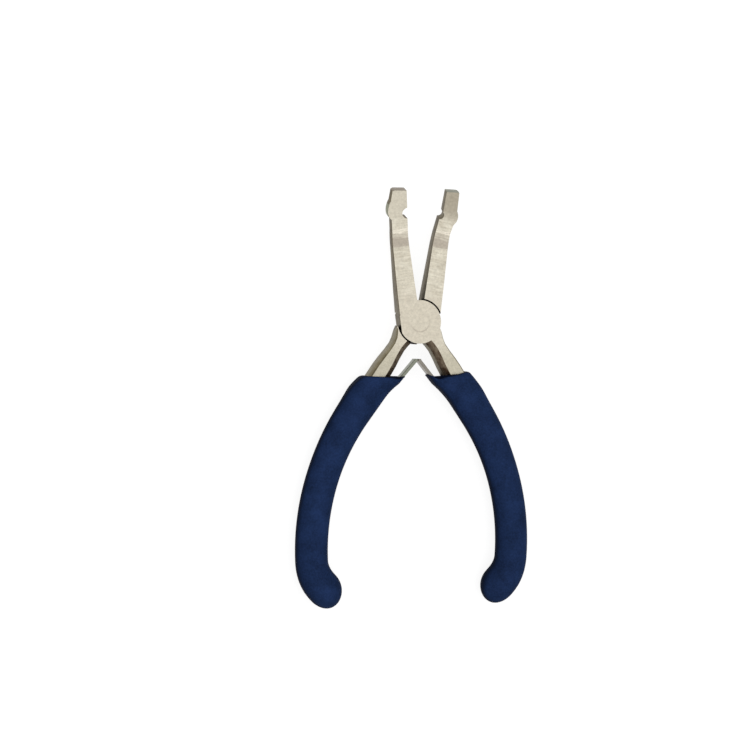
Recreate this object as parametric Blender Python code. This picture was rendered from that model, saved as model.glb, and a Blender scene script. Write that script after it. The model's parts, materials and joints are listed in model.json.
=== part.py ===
# Bail making pliers with a bent, notched nose, modelled as separate pieces.
# Two lapped levers turn on one flush rivet and two leaf springs push the handles apart.
# Metres, +Y along the closed jaws, +Z towards the side that the nose is bent to.
# The origin is on the pivot axis, at the back face of the joint.

import math

import bmesh
import bpy
from mathutils import Matrix, Vector

MM = 0.001
DEG = math.pi / 180.0

# Joint: each lever carries one half disc that lies in a recess of the other lever.
JOINT_THICKNESS = 6.0 * MM
DISC_RADIUS = 6.4 * MM
SHOULDER_GAP = 0.35 * MM
LAP_GAP = 0.1 * MM
REST_OPENING = 18.0 * DEG

# Pivot rivet: flared at both ends and ground flush with the joint's faces.
RIVET_RADIUS = 2.0 * MM
RIVET_FLARE_RADIUS = 3.0 * MM
RIVET_FLARE_DEPTH = 1.0 * MM
RIVET_GAP = 0.05 * MM

# Jaw: widths are those of one jaw, from the seam between the jaws outwards.
JAW_SEAM_GAP = 0.1 * MM
JAW_ROOT_WIDTH = 5.9 * MM
JAW_SHOULDER_WIDTH = 5.6 * MM
JAW_SHOULDER_REACH = 10.0 * MM
JAW_NECK_WIDTH = 4.95 * MM
JAW_NECK_THICKNESS = 4.0 * MM
JAW_STRAIGHT = 22.8 * MM
JAW_EDGE_ROUND = 0.7 * MM

# Nose: the last part of the jaw, bent up and notched so that the pair closes on a round hole.
# The notches and ears are ground by hand, so the right jaw's own sit a little nearer to the joint,
# and its inner side is relieved beside the notch and runs out to the seam at the tip.
BEND_LENGTH = 5.0 * MM
BEND_ANGLE = 22.0 * DEG
NOSE_LENGTH = 12.6 * MM
NOSE_LEFT_TIP_WIDTH = 4.35 * MM
NOSE_RIGHT_TIP_WIDTH = 4.05 * MM
NOSE_RIGHT_RELIEF = 0.6 * MM
NOSE_TIP_THICKNESS = 2.9 * MM
NOSE_CORNER_ROUND = 0.4 * MM
NOSE_END_SLANT = 8.0 * DEG
NOTCH_LEFT_RADIUS = 1.6 * MM
NOTCH_LEFT_TO_TIP = 7.2 * MM
NOTCH_RIGHT_RADIUS = 1.2 * MM
NOTCH_RIGHT_TO_TIP = 7.5 * MM
EAR_RADIUS = 3.3 * MM
EAR_LEFT_OFFSET = 2.6 * MM
EAR_LEFT_LEAD = 0.8 * MM
EAR_RIGHT_OFFSET = 2.4 * MM
EAR_RIGHT_LEAD = -0.2 * MM

# Handle line: straight from the neck, then a long bow, then the hook at the end of the grip.
NECK_OFFSET = 4.85 * MM
NECK_DROP = 8.3 * MM
HANDLE_SPLAY = 24.2 * DEG
HANDLE_STRAIGHT = 24.0 * MM
BOW_RADIUS = 70.5 * MM
BOW_TURN = 36.4 * DEG
HOOK_RADIUS = 12.0 * MM
HOOK_TURN = 38.0 * DEG

# Tang: the steel core of the handle.
TANG_ROOT_RISE = 5.5 * MM
TANG_ROOT_WIDTH = 6.3 * MM
TANG_ROOT_SHIFT = 0.25 * MM
TANG_NECK_WIDTH = 4.4 * MM
TANG_WIDTH = 5.8 * MM
TANG_THICKNESS = 5.9 * MM
TANG_FULL_REACH = 8.0 * MM
TANG_TAPER_REACH = 27.0 * MM
TANG_END_WIDTH = 4.0 * MM
TANG_END_THICKNESS = 4.4 * MM
TANG_LENGTH = 64.0 * MM
TANG_ROOT_EDGE_ROUND = 0.35 * MM
TANG_EDGE_ROUND = 0.9 * MM
TANG_INNER_BEVEL = 1.65 * MM
TANG_BACK_BEVEL = 0.6 * MM

# Grip: a sleeve over the tang with an oblique mouth and a knob at its end.
# The slip is how far the left sleeve sits down its handle and the right one up.
# A mouth with no tilt lies level in the resting tool; the tilt drops its inner side.
GRIP_SEAT_GAP = 0.2 * MM
GRIP_SLIP = 0.5 * MM
GRIP_WIDTH = 10.5 * MM
GRIP_WAIST_WIDTH = 9.65 * MM
GRIP_THICKNESS = 9.6 * MM
GRIP_WAIST_THICKNESS = 9.0 * MM
GRIP_WAIST_REACH = 45.0 * MM
MOUTH_REACH = 10.1 * MM
MOUTH_LEFT_TILT = 3.0 * DEG
MOUTH_RIGHT_TILT = 10.0 * DEG
MOUTH_TIP_RISE = 0.8 * MM
MOUTH_FLARE = 2.2 * MM
MOUTH_LEFT_FLARE_LENGTH = 6.0 * MM
MOUTH_RIGHT_FLARE_LENGTH = 8.5 * MM
MOUTH_DRAW_IN = 1.05 * MM
MOUTH_ROUND = 0.7 * MM
MOUTH_SKEW_LENGTH = 16.0 * MM
KNOB_WIDTH = 10.4 * MM
KNOB_THICKNESS = 10.2 * MM
KNOB_STRAIGHT = 1.0 * MM
KNOB_CAP_LENGTH = 6.3 * MM
KNOB_CAP_LEAN = 0.5 * MM

# Leaf springs: one on each lever, meeting tip to tip below the joint.
LEAF_THICKNESS = 0.8 * MM
LEAF_WIDTH = 3.0 * MM
LEAF_TOP_DROP = 10.95 * MM
LEAF_TIP_LENGTH = 0.4 * MM
LEAF_TIP_GAP = 0.1 * MM
LEAF_MOUTH_REACH = 6.0 * MM
LEAF_MOUTH_OFFSET = 6.1 * MM
LEAF_FOOT_REACH = 13.5 * MM
LEAF_FOOT_LENGTH = 9.0 * MM
LEAF_SEAT_GAP = 0.1 * MM
LEAF_CHANNEL_GAP = 0.2 * MM

# Spring rivets: drive rivets that hold each leaf's foot to its tang.
PIN_RADIUS = 0.8 * MM
PIN_GAP = 0.05 * MM
PIN_HEAD_RADIUS = 1.4 * MM
PIN_HEAD_HEIGHT = 0.45 * MM
PIN_SEAT_GAP = 0.03 * MM
PIN_LENGTH = 3.6 * MM
PIN_HOLE_SPARE = 0.3 * MM
PIN_FROM_FOOT = 5.0 * MM
PIN_POCKET_GAP = 0.25 * MM

# Overrun of every cutter past the surface that it opens.
OVERRUN = 1.0 * MM

# Points nearer to each other than this are one point, and so are two stations of a loft.
MERGE_DISTANCE = 0.002 * MM
STATION_DISTANCE = 0.08 * MM

# Facet counts.
DISC_SIDES = 96
RIVET_SIDES = 64
PIN_SIDES = 20
NOTCH_STEPS = 12
EAR_STEPS = 8
BEND_STEPS = 6
CORNER_STEPS = 3
GRIP_SIDES = 28
ROUND_STEPS = 3
BOW_STEPS = 11
HOOK_STEPS = 6
CAP_STEPS = 6
LEAF_CURVE_STEPS = 10

HALF_OPENING = REST_OPENING / 2.0
MID_HEIGHT = JOINT_THICKNESS / 2.0
SHOULDER_RADIUS = DISC_RADIUS + SHOULDER_GAP
BEND_RADIUS = BEND_LENGTH / BEND_ANGLE
JAW_LENGTH = JAW_STRAIGHT + BEND_LENGTH + NOSE_LENGTH
BOW_LENGTH = BOW_RADIUS * BOW_TURN
HOOK_LENGTH = HOOK_RADIUS * HOOK_TURN
KNOB_REACH = HANDLE_STRAIGHT + BOW_LENGTH + HOOK_LENGTH + KNOB_STRAIGHT
LEAF_FOOT_OFFSET = TANG_WIDTH / 2.0 + LEAF_SEAT_GAP + LEAF_THICKNESS / 2.0
PIN_REACH = LEAF_FOOT_REACH + PIN_FROM_FOOT


def clear_scene():
    """Remove whatever the file was opened with."""
    for item in list(bpy.data.objects):
        bpy.data.objects.remove(item, do_unlink=True)


def make_material(name, colour, roughness, metallic):
    """One plain Principled material."""
    material = bpy.data.materials.new(name)
    material.use_nodes = True
    shader = material.node_tree.nodes["Principled BSDF"]
    shader.inputs["Base Color"].default_value = (*colour, 1.0)
    shader.inputs["Roughness"].default_value = roughness
    shader.inputs["Metallic"].default_value = metallic
    return material


def smooth_step(share):
    """Ease from 0 to 1 with level ends."""
    held = min(max(share, 0.0), 1.0)
    return held * held * (3.0 - 2.0 * held)


def straight_table(place, table):
    """Value at a place on straight runs between the rows of a table."""
    if place <= table[0][0]:
        return table[0][1]
    for (start, first), (end, last) in zip(table, table[1:]):
        if place <= end:
            return first + (last - first) * (place - start) / (end - start)
    return table[-1][1]


def eased_table(place, table):
    """Value at a place on eased runs between the rows of a table."""
    if place <= table[0][0]:
        return table[0][1]
    for (start, first), (end, last) in zip(table, table[1:]):
        if place <= end:
            return first + (last - first) * smooth_step((place - start) / (end - start))
    return table[-1][1]


def heading_vector(heading):
    """Direction along a handle; a heading of zero points straight away from the jaws."""
    return Vector((math.sin(heading), -math.cos(heading)))


def outward_vector(heading):
    """Direction square to a handle, away from the other handle."""
    return Vector((math.cos(heading), math.sin(heading)))


def handle_line(reach, slip=0.0):
    """Point and heading of the handle's centre line, a distance along it from the neck.

    A slipped sleeve starts its hook that much further along the bow.
    """
    neck = Vector((NECK_OFFSET, -NECK_DROP))
    if reach <= HANDLE_STRAIGHT:
        return neck + heading_vector(HANDLE_SPLAY) * reach, HANDLE_SPLAY
    point = neck + heading_vector(HANDLE_SPLAY) * HANDLE_STRAIGHT
    heading = HANDLE_SPLAY
    rest = reach - HANDLE_STRAIGHT
    for radius, length in ((BOW_RADIUS, BOW_LENGTH + slip), (HOOK_RADIUS, HOOK_LENGTH)):
        centre = point - outward_vector(heading) * radius
        run = min(rest, length)
        heading = heading - run / radius
        point = centre + outward_vector(heading) * radius
        rest = rest - run
    return point + heading_vector(heading) * rest, heading


def handle_place(reach, offset, slip=0.0):
    """Point beside the handle's centre line; a positive offset is on the outer side."""
    point, heading = handle_line(reach, slip)
    return point + outward_vector(heading) * offset


def turned_back(point, angle):
    """A point given in the resting tool, brought into the frame of the closed lever."""
    cosine = math.cos(angle)
    sine = math.sin(angle)
    return Vector((point.x * cosine + point.y * sine, point.y * cosine - point.x * sine))


def leaf_bend_point():
    """Where the leaf's leg turns parallel to the tool's axis, in the closed lever."""
    resting = Vector((LEAF_TIP_GAP / 2.0 + LEAF_THICKNESS / 2.0, -LEAF_TOP_DROP - LEAF_TIP_LENGTH))
    return turned_back(resting, HALF_OPENING)


def leaf_tip_point():
    """The leaf's free end, in the closed lever."""
    resting = Vector((LEAF_TIP_GAP / 2.0 + LEAF_THICKNESS / 2.0, -LEAF_TOP_DROP))
    return turned_back(resting, HALF_OPENING)


def leaf_leg_slope():
    """How fast the straight leg nears the handle line."""
    neck = Vector((NECK_OFFSET, -NECK_DROP))
    bend = leaf_bend_point() - neck
    reach = bend.dot(heading_vector(HANDLE_SPLAY))
    offset = -bend.dot(outward_vector(HANDLE_SPLAY))
    return (offset - LEAF_MOUTH_OFFSET) / (LEAF_MOUTH_REACH - reach)


def leaf_offset(reach):
    """Distance of the leaf's middle from the handle line, on the inner side."""
    slope = leaf_leg_slope()
    if reach <= LEAF_MOUTH_REACH:
        return LEAF_MOUTH_OFFSET + slope * (LEAF_MOUTH_REACH - reach)
    if reach >= LEAF_FOOT_REACH:
        return LEAF_FOOT_OFFSET
    span = LEAF_FOOT_REACH - LEAF_MOUTH_REACH
    share = (reach - LEAF_MOUTH_REACH) / span
    fall = smooth_step(share)
    lead = share * (1.0 - share) ** 2
    return LEAF_MOUTH_OFFSET * (1.0 - fall) + LEAF_FOOT_OFFSET * fall - slope * span * lead


def skin_rings(name, rings):
    """Closed solid skinned over rings that have the same number of points."""
    builder = bmesh.new()
    loops = [[builder.verts.new(point) for point in ring] for ring in rings]
    for near, far in zip(loops, loops[1:]):
        for index, corner in enumerate(near):
            following = (index + 1) % len(near)
            builder.faces.new((corner, near[following], far[following], far[index]))
    builder.faces.new(loops[0])
    builder.faces.new(loops[-1])
    return finish_mesh(name, builder)


def extruded_outline(name, outline, low, high):
    """Flat outline raised from one height to another."""
    builder = bmesh.new()
    face = builder.faces.new([builder.verts.new((point.x, point.y, low)) for point in outline])
    raised = bmesh.ops.extrude_face_region(builder, geom=[face])
    moved = [item for item in raised["geom"] if isinstance(item, bmesh.types.BMVert)]
    bmesh.ops.translate(builder, verts=moved, vec=(0.0, 0.0, high - low))
    return finish_mesh(name, builder)


def turned_profile(name, profile, sides):
    """Profile of radius and height, spun about Z; it starts and ends on the axis."""
    builder = bmesh.new()
    points = [builder.verts.new((radius, 0.0, height)) for radius, height in profile]
    edges = [builder.edges.new(pair) for pair in zip(points, points[1:])]
    bmesh.ops.spin(builder, geom=points + edges, cent=(0.0, 0.0, 0.0), axis=(0.0, 0.0, 1.0),
                   angle=2.0 * math.pi, steps=sides, use_merge=True)
    bmesh.ops.remove_doubles(builder, verts=builder.verts, dist=MERGE_DISTANCE)
    return finish_mesh(name, builder)


def finish_mesh(name, builder):
    """Turn the faces outwards and hand the mesh to a new object."""
    bmesh.ops.recalc_face_normals(builder, faces=builder.faces)
    mesh = bpy.data.meshes.new(name)
    builder.to_mesh(mesh)
    builder.free()
    item = bpy.data.objects.new(name, mesh)
    bpy.context.scene.collection.objects.link(item)
    return item


def shade_round(item, angle=30.0 * DEG):
    """Smooth shading that keeps the real edges crisp."""
    item.data.shade_smooth()
    item.data.set_sharp_from_angle(angle=angle)


def as_tool(item, half):
    """Hide a helper solid and let it ride with the lever that it shapes."""
    item.hide_render = True
    item.display_type = "WIRE"
    item.parent = half
    return item


def combine(item, tool, operation):
    """Join or cut one solid with another."""
    modifier = item.modifiers.new(f"{operation.lower()}_{tool.name}"[:59], "BOOLEAN")
    modifier.operation = operation
    modifier.solver = "EXACT"
    modifier.object = tool


def notch_of(side):
    """Distance along the jaw and radius of its notch; the front lever carries the left jaw."""
    if side > 0.0:
        return JAW_LENGTH - NOTCH_LEFT_TO_TIP, NOTCH_LEFT_RADIUS
    return JAW_LENGTH - NOTCH_RIGHT_TO_TIP, NOTCH_RIGHT_RADIUS


def ear_of(side):
    """Distance along the jaw and offset of the ear's centre."""
    notch_reach, _ = notch_of(side)
    if side > 0.0:
        return notch_reach + EAR_LEFT_LEAD, EAR_LEFT_OFFSET
    return notch_reach + EAR_RIGHT_LEAD, EAR_RIGHT_OFFSET


def tip_width(side):
    """Width of the jaw at its tip, from the seam outwards."""
    return NOSE_LEFT_TIP_WIDTH if side > 0.0 else NOSE_RIGHT_TIP_WIDTH


def jaw_outer_width(reach, side):
    """Width of the jaw from the seam to its outer side, with the ear beside the notch."""
    table = ((0.0, JAW_ROOT_WIDTH), (JAW_SHOULDER_REACH, JAW_SHOULDER_WIDTH),
             (JAW_STRAIGHT, JAW_NECK_WIDTH), (JAW_LENGTH, tip_width(side)))
    plain = straight_table(reach, table)
    ear_reach, ear_offset = ear_of(side)
    across = abs(reach - ear_reach)
    if across >= EAR_RADIUS:
        return plain
    return max(plain, ear_offset + math.sqrt(EAR_RADIUS ** 2 - across ** 2))


def jaw_inner_width(reach, side):
    """Depth of the jaw's inner side behind the seam: half the hole in the notch, the relief past it."""
    notch_reach, notch_radius = notch_of(side)
    across = min(abs(reach - notch_reach), notch_radius)
    depth = JAW_SEAM_GAP / 2.0
    if side < 0.0 and reach > notch_reach:
        notch_end = notch_reach + notch_radius
        share = max(reach - notch_end, 0.0) / (JAW_LENGTH - notch_end)
        depth += NOSE_RIGHT_RELIEF * (1.0 - share)
    return max(depth, math.sqrt(notch_radius ** 2 - across ** 2))


def jaw_thickness(reach):
    """Thickness of the jaw, full at the joint and thinning towards the tip."""
    table = ((SHOULDER_RADIUS, JOINT_THICKNESS), (JAW_STRAIGHT, JAW_NECK_THICKNESS),
             (JAW_LENGTH, NOSE_TIP_THICKNESS))
    return straight_table(reach, table)


def bend_nose(across, reach, height):
    """Place a point of the straight jaw on the bent one; height is from the middle plane."""
    if reach <= JAW_STRAIGHT:
        return Vector((across, reach, MID_HEIGHT + height))
    turn = min((reach - JAW_STRAIGHT) / BEND_RADIUS, BEND_ANGLE)
    beyond = max(reach - JAW_STRAIGHT - BEND_LENGTH, 0.0)
    arm = BEND_RADIUS - height
    forward = JAW_STRAIGHT + arm * math.sin(turn) + beyond * math.cos(turn)
    up = MID_HEIGHT + BEND_RADIUS - arm * math.cos(turn) + beyond * math.sin(turn)
    return Vector((across, forward, up))


def jaw_reaches(side):
    """Stations along the jaw: the bend, the notch, the ear and the rounded tip."""
    notch_reach, notch_radius = notch_of(side)
    ear_reach, ear_offset = ear_of(side)
    ear_half = math.sqrt(EAR_RADIUS ** 2 - (JAW_NECK_WIDTH - ear_offset) ** 2)
    reaches = [0.0, DISC_RADIUS, SHOULDER_RADIUS, JAW_SHOULDER_REACH]
    reaches += [JAW_STRAIGHT + BEND_LENGTH * step / BEND_STEPS for step in range(BEND_STEPS + 1)]
    reaches += [notch_reach - notch_radius * math.cos(math.pi * step / NOTCH_STEPS)
                for step in range(NOTCH_STEPS + 1)]
    reaches += [ear_reach - ear_half * math.cos(math.pi * step / EAR_STEPS)
                for step in range(EAR_STEPS + 1)]
    reaches += [JAW_LENGTH - NOSE_CORNER_ROUND * math.cos(math.pi / 2.0 * step / CORNER_STEPS)
                for step in range(CORNER_STEPS + 1)]
    spaced = []
    for reach in sorted(reaches):
        if not spaced or reach - spaced[-1] > STATION_DISTANCE:
            spaced.append(reach)
    spaced[-1] = JAW_LENGTH
    return spaced


def jaw_ring(reach, side):
    """Section of the jaw: a sharp inner side for gripping and a rounded outer one.

    Past the notch the sections lean over until the last one lies along the slanted end.
    """
    inner = jaw_inner_width(reach, side)
    outer = jaw_outer_width(reach, side)
    notch_reach, notch_radius = notch_of(side)
    notch_end = notch_reach + notch_radius
    lean = max(reach - notch_end, 0.0) / (JAW_LENGTH - notch_end) * math.tan(NOSE_END_SLANT)
    into_corner = NOSE_CORNER_ROUND - (JAW_LENGTH - reach)
    if into_corner > 0.0:
        outer -= NOSE_CORNER_ROUND - math.sqrt(NOSE_CORNER_ROUND ** 2 - into_corner ** 2)
    half = jaw_thickness(reach) / 2.0
    places = [(inner, -half), (inner, half)]
    for end in (1.0, -1.0):
        arc = [math.pi / 2.0 * step / CORNER_STEPS for step in range(CORNER_STEPS + 1)]
        if end < 0.0:
            arc.reverse()
        places += [(outer - JAW_EDGE_ROUND * (1.0 - math.sin(turn)),
                    end * (half - JAW_EDGE_ROUND * (1.0 - math.cos(turn)))) for turn in arc]
    return [bend_nose(-side * across, reach + lean * (across - tip_width(side) / 2.0), height)
            for across, height in places]


def make_jaw(name, side):
    """Jaw with its bent and notched nose."""
    return skin_rings(name, [jaw_ring(reach, side) for reach in jaw_reaches(side)])


def tang_width(reach):
    """Width of the tang, broad at the joint, narrow at the neck and tapered in the grip."""
    table = ((-TANG_ROOT_RISE, TANG_ROOT_WIDTH), (0.0, TANG_NECK_WIDTH), (TANG_FULL_REACH, TANG_WIDTH),
             (TANG_TAPER_REACH, TANG_WIDTH), (TANG_LENGTH, TANG_END_WIDTH))
    return eased_table(reach, table)


def tang_thickness(reach):
    """Thickness of the tang, flush with the joint at its root."""
    table = ((0.0, JOINT_THICKNESS), (TANG_FULL_REACH, TANG_THICKNESS),
             (TANG_TAPER_REACH, TANG_THICKNESS), (TANG_LENGTH, TANG_END_THICKNESS))
    return eased_table(reach, table)


def tang_ring(reach, side, clearance):
    """Section of the tang: rounded on the outer side, with a broad bevel on the inner front edge."""
    half_width = tang_width(reach) / 2.0 + clearance
    half_height = tang_thickness(reach) / 2.0 + clearance
    edge_rounds = ((-TANG_ROOT_RISE, TANG_ROOT_EDGE_ROUND), (TANG_FULL_REACH, TANG_EDGE_ROUND))
    edge_round = eased_table(reach, edge_rounds)
    shift = eased_table(reach, ((-TANG_ROOT_RISE, TANG_ROOT_SHIFT), (0.0, 0.0)))
    rounded = []
    for step in range(CORNER_STEPS + 1):
        turn = math.pi / 2.0 * step / CORNER_STEPS
        rounded.append((half_width - edge_round * (1.0 - math.cos(turn)),
                        half_height - edge_round * (1.0 - math.sin(turn))))
    corners = rounded + [(TANG_INNER_BEVEL - half_width, half_height),
                         (-half_width, half_height - TANG_INNER_BEVEL),
                         (-half_width, TANG_BACK_BEVEL - half_height),
                         (TANG_BACK_BEVEL - half_width, -half_height)]
    corners += [(offset, -height) for offset, height in reversed(rounded)]
    ring = []
    for offset, height in corners:
        place = handle_place(reach, offset + shift)
        ring.append(Vector((side * place.x, place.y, MID_HEIGHT + height)))
    return ring


def make_tang(name, side, first, last, clearance):
    """Tang between two distances along the handle line."""
    marks = [-TANG_ROOT_RISE * (1.0 - step / ROUND_STEPS) for step in range(ROUND_STEPS + 1)]
    marks += [TANG_FULL_REACH * step / ROUND_STEPS for step in range(ROUND_STEPS + 1)]
    marks += [TANG_TAPER_REACH]
    marks += [HANDLE_STRAIGHT + BOW_LENGTH * step / BOW_STEPS for step in range(BOW_STEPS + 1)]
    lowest = first + STATION_DISTANCE
    highest = last - STATION_DISTANCE
    inside = sorted({mark for mark in marks if lowest < mark < highest})
    return skin_rings(name, [tang_ring(reach, side, clearance) for reach in [first, *inside, last]])


def pin_frame(side):
    """Foot of the spring rivet's axis on the handle line, and the inward direction."""
    place, heading = handle_line(PIN_REACH)
    inward = -outward_vector(heading)
    return (Vector((side * place.x, place.y, MID_HEIGHT)), Vector((side * inward.x, inward.y, 0.0)))


def aim_pin(item, side):
    """Turn a solid made along Z so that its Z runs inwards across the tang."""
    foot, inward = pin_frame(side)
    item.data.transform(inward.to_track_quat("Z", "Y").to_matrix().to_4x4())
    item.data.transform(Matrix.Translation(foot))


def make_lever(name, side, disc_in_front, half, material):
    """Jaw, half disc and tang joined to one forging, with its recess and rivet holes."""
    lever = make_jaw(name, side)
    floor = MID_HEIGHT + LAP_GAP / 2.0
    disc_profile = [(0.0, JOINT_THICKNESS), (DISC_RADIUS, JOINT_THICKNESS),
                    (DISC_RADIUS, MID_HEIGHT - LAP_GAP), (0.0, MID_HEIGHT - LAP_GAP)]
    recess_profile = [(0.0, floor), (SHOULDER_RADIUS, floor),
                      (SHOULDER_RADIUS, -OVERRUN), (0.0, -OVERRUN)]
    if not disc_in_front:
        disc_profile = [(radius, JOINT_THICKNESS - height) for radius, height in disc_profile]
        recess_profile = [(radius, JOINT_THICKNESS - height) for radius, height in recess_profile]
    disc = as_tool(turned_profile(f"{name}_disc", disc_profile, DISC_SIDES), half)
    tang = as_tool(make_tang(f"{name}_tang", side, -TANG_ROOT_RISE, TANG_LENGTH, 0.0), half)
    recess = as_tool(turned_profile(f"{name}_recess", recess_profile, DISC_SIDES), half)
    bore = as_tool(turned_profile(f"{name}_bore", rivet_profile(RIVET_GAP, OVERRUN), RIVET_SIDES), half)
    combine(lever, disc, "UNION")
    combine(lever, tang, "UNION")
    combine(lever, recess, "DIFFERENCE")
    combine(lever, bore, "DIFFERENCE")
    hole_profile = [(0.0, TANG_WIDTH), (PIN_RADIUS + PIN_GAP, TANG_WIDTH),
                    (PIN_RADIUS + PIN_GAP, pin_floor() - PIN_HOLE_SPARE), (0.0, pin_floor() - PIN_HOLE_SPARE)]
    hole = as_tool(turned_profile(f"{name}_pin_hole", hole_profile, PIN_SIDES), half)
    aim_pin(hole, side)
    combine(lever, hole, "DIFFERENCE")
    dress(lever, half, material)
    return lever


def rivet_profile(gap, overrun):
    """Radius and height of the flared rivet, or of the bore that holds it."""
    top = JOINT_THICKNESS
    rim = RIVET_FLARE_RADIUS + gap
    stem = RIVET_RADIUS + gap
    profile = [(0.0, top + overrun), (rim, top + overrun), (stem, top - RIVET_FLARE_DEPTH),
               (stem, RIVET_FLARE_DEPTH), (rim, -overrun), (0.0, -overrun)]
    if overrun > 0.0:
        profile.insert(2, (rim, top))
        profile.insert(5, (rim, 0.0))
    return profile


def pin_floor():
    """Height of the spring rivet's inner end above the handle line, towards the other handle."""
    return pin_seat() - PIN_LENGTH


def pin_seat():
    """Where the spring rivet's head bears on the leaf."""
    return LEAF_FOOT_OFFSET + LEAF_THICKNESS / 2.0 + PIN_SEAT_GAP


def make_pivot_rivet(half, material):
    """Rivet that both levers turn on."""
    rivet = turned_profile("pivot_rivet", rivet_profile(0.0, 0.0), RIVET_SIDES)
    dress(rivet, half, material)
    return rivet


def make_spring_rivet(name, side, half, material):
    """Drive rivet with a low domed head."""
    dome = [(PIN_HEAD_RADIUS * math.sin(math.pi / 2.0 * step / ROUND_STEPS),
             pin_seat() + PIN_HEAD_HEIGHT * math.cos(math.pi / 2.0 * step / ROUND_STEPS))
            for step in range(ROUND_STEPS + 1)]
    profile = dome + [(PIN_RADIUS, pin_seat()), (PIN_RADIUS, pin_floor()), (0.0, pin_floor())]
    rivet = turned_profile(name, profile, PIN_SIDES)
    aim_pin(rivet, side)
    dress(rivet, half, material)
    return rivet


def leaf_line():
    """Middle line of the leaf, from its free tip to the end of its foot."""
    points = [leaf_tip_point(), leaf_bend_point()]
    reaches = [LEAF_MOUTH_REACH + (LEAF_FOOT_REACH - LEAF_MOUTH_REACH) * step / LEAF_CURVE_STEPS
               for step in range(LEAF_CURVE_STEPS + 1)]
    reaches.append(LEAF_FOOT_REACH + LEAF_FOOT_LENGTH)
    points += [handle_place(reach, -leaf_offset(reach)) for reach in reaches]
    return points


def beside_line(points, offset):
    """Points beside a line, with mitred corners; a positive offset is on its left."""
    beside = []
    for index, point in enumerate(points):
        before = (point - points[index - 1]).normalized() if index else None
        after = (points[index + 1] - point).normalized() if index + 1 < len(points) else None
        along = ((before or after) + (after or before)).normalized()
        square = Vector((-along.y, along.x))
        lean = along.dot(after or before)
        beside.append(point + square * offset / lean)
    return beside


def make_leaf(name, side, half, material):
    """Leaf spring with a joggled foot and a hole for its rivet."""
    line = leaf_line()
    outline = beside_line(line, LEAF_THICKNESS / 2.0)
    outline += reversed(beside_line(line, -LEAF_THICKNESS / 2.0))
    outline = [Vector((side * point.x, point.y)) for point in outline]
    leaf = extruded_outline(name, outline, MID_HEIGHT - LEAF_WIDTH / 2.0, MID_HEIGHT + LEAF_WIDTH / 2.0)
    hole_profile = [(0.0, pin_seat() + OVERRUN), (PIN_RADIUS + PIN_GAP, pin_seat() + OVERRUN),
                    (PIN_RADIUS + PIN_GAP, 0.0), (0.0, 0.0)]
    hole = as_tool(turned_profile(f"{name}_hole", hole_profile, PIN_SIDES), half)
    aim_pin(hole, side)
    combine(leaf, hole, "DIFFERENCE")
    dress(leaf, half, material)
    return leaf


def grip_ring(station, side, inset):
    """Section of the grip: a soft rectangle, skewed and flared towards the mouth."""
    width_table = ((MOUTH_REACH, GRIP_WIDTH), (GRIP_WAIST_REACH, GRIP_WAIST_WIDTH),
                   (HANDLE_STRAIGHT + BOW_LENGTH, GRIP_WAIST_WIDTH), (KNOB_REACH, KNOB_WIDTH))
    thickness_table = ((MOUTH_REACH, GRIP_THICKNESS), (GRIP_WAIST_REACH, GRIP_WAIST_THICKNESS),
                       (HANDLE_STRAIGHT + BOW_LENGTH, GRIP_WAIST_THICKNESS), (KNOB_REACH, KNOB_THICKNESS))
    half_width = eased_table(station, width_table) / 2.0
    half_height = eased_table(station, thickness_table) / 2.0
    from_mouth = station - MOUTH_REACH
    flare_length = MOUTH_RIGHT_FLARE_LENGTH if side > 0.0 else MOUTH_LEFT_FLARE_LENGTH
    tilt = MOUTH_RIGHT_TILT if side > 0.0 else MOUTH_LEFT_TILT
    near_mouth = max(1.0 - from_mouth / flare_length, 0.0) ** 2
    skew = math.tan(HANDLE_SPLAY + HALF_OPENING - tilt) * (1.0 - smooth_step(from_mouth / MOUTH_SKEW_LENGTH))
    squareness = 2.0 + (1.0 - smooth_step(from_mouth / MOUTH_SKEW_LENGTH))
    slip = -side * GRIP_SLIP
    into_cap = max(station - KNOB_REACH, 0.0) / KNOB_CAP_LENGTH
    scale = math.sqrt(max(1.0 - into_cap ** 2, 0.0))
    lean = KNOB_CAP_LEAN * into_cap ** 2
    ring = []
    for corner in range(GRIP_SIDES):
        turn = 2.0 * math.pi * corner / GRIP_SIDES
        across = math.copysign(abs(math.cos(turn)) ** (2.0 / squareness), math.cos(turn))
        up = math.copysign(abs(math.sin(turn)) ** (2.0 / squareness), math.sin(turn))
        reach_across = half_width - inset + near_mouth * (MOUTH_FLARE if across < 0.0 else -MOUTH_DRAW_IN)
        offset = across * reach_across * scale + lean
        height = up * (half_height - inset) * scale
        into_flare = max(-offset - half_width, 0.0) / MOUTH_FLARE
        rise = MOUTH_TIP_RISE * into_flare ** 2
        place = handle_place(station + slip + offset * skew - rise, offset, slip)
        ring.append(Vector((side * place.x, place.y, MID_HEIGHT + height)))
    return ring


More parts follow.
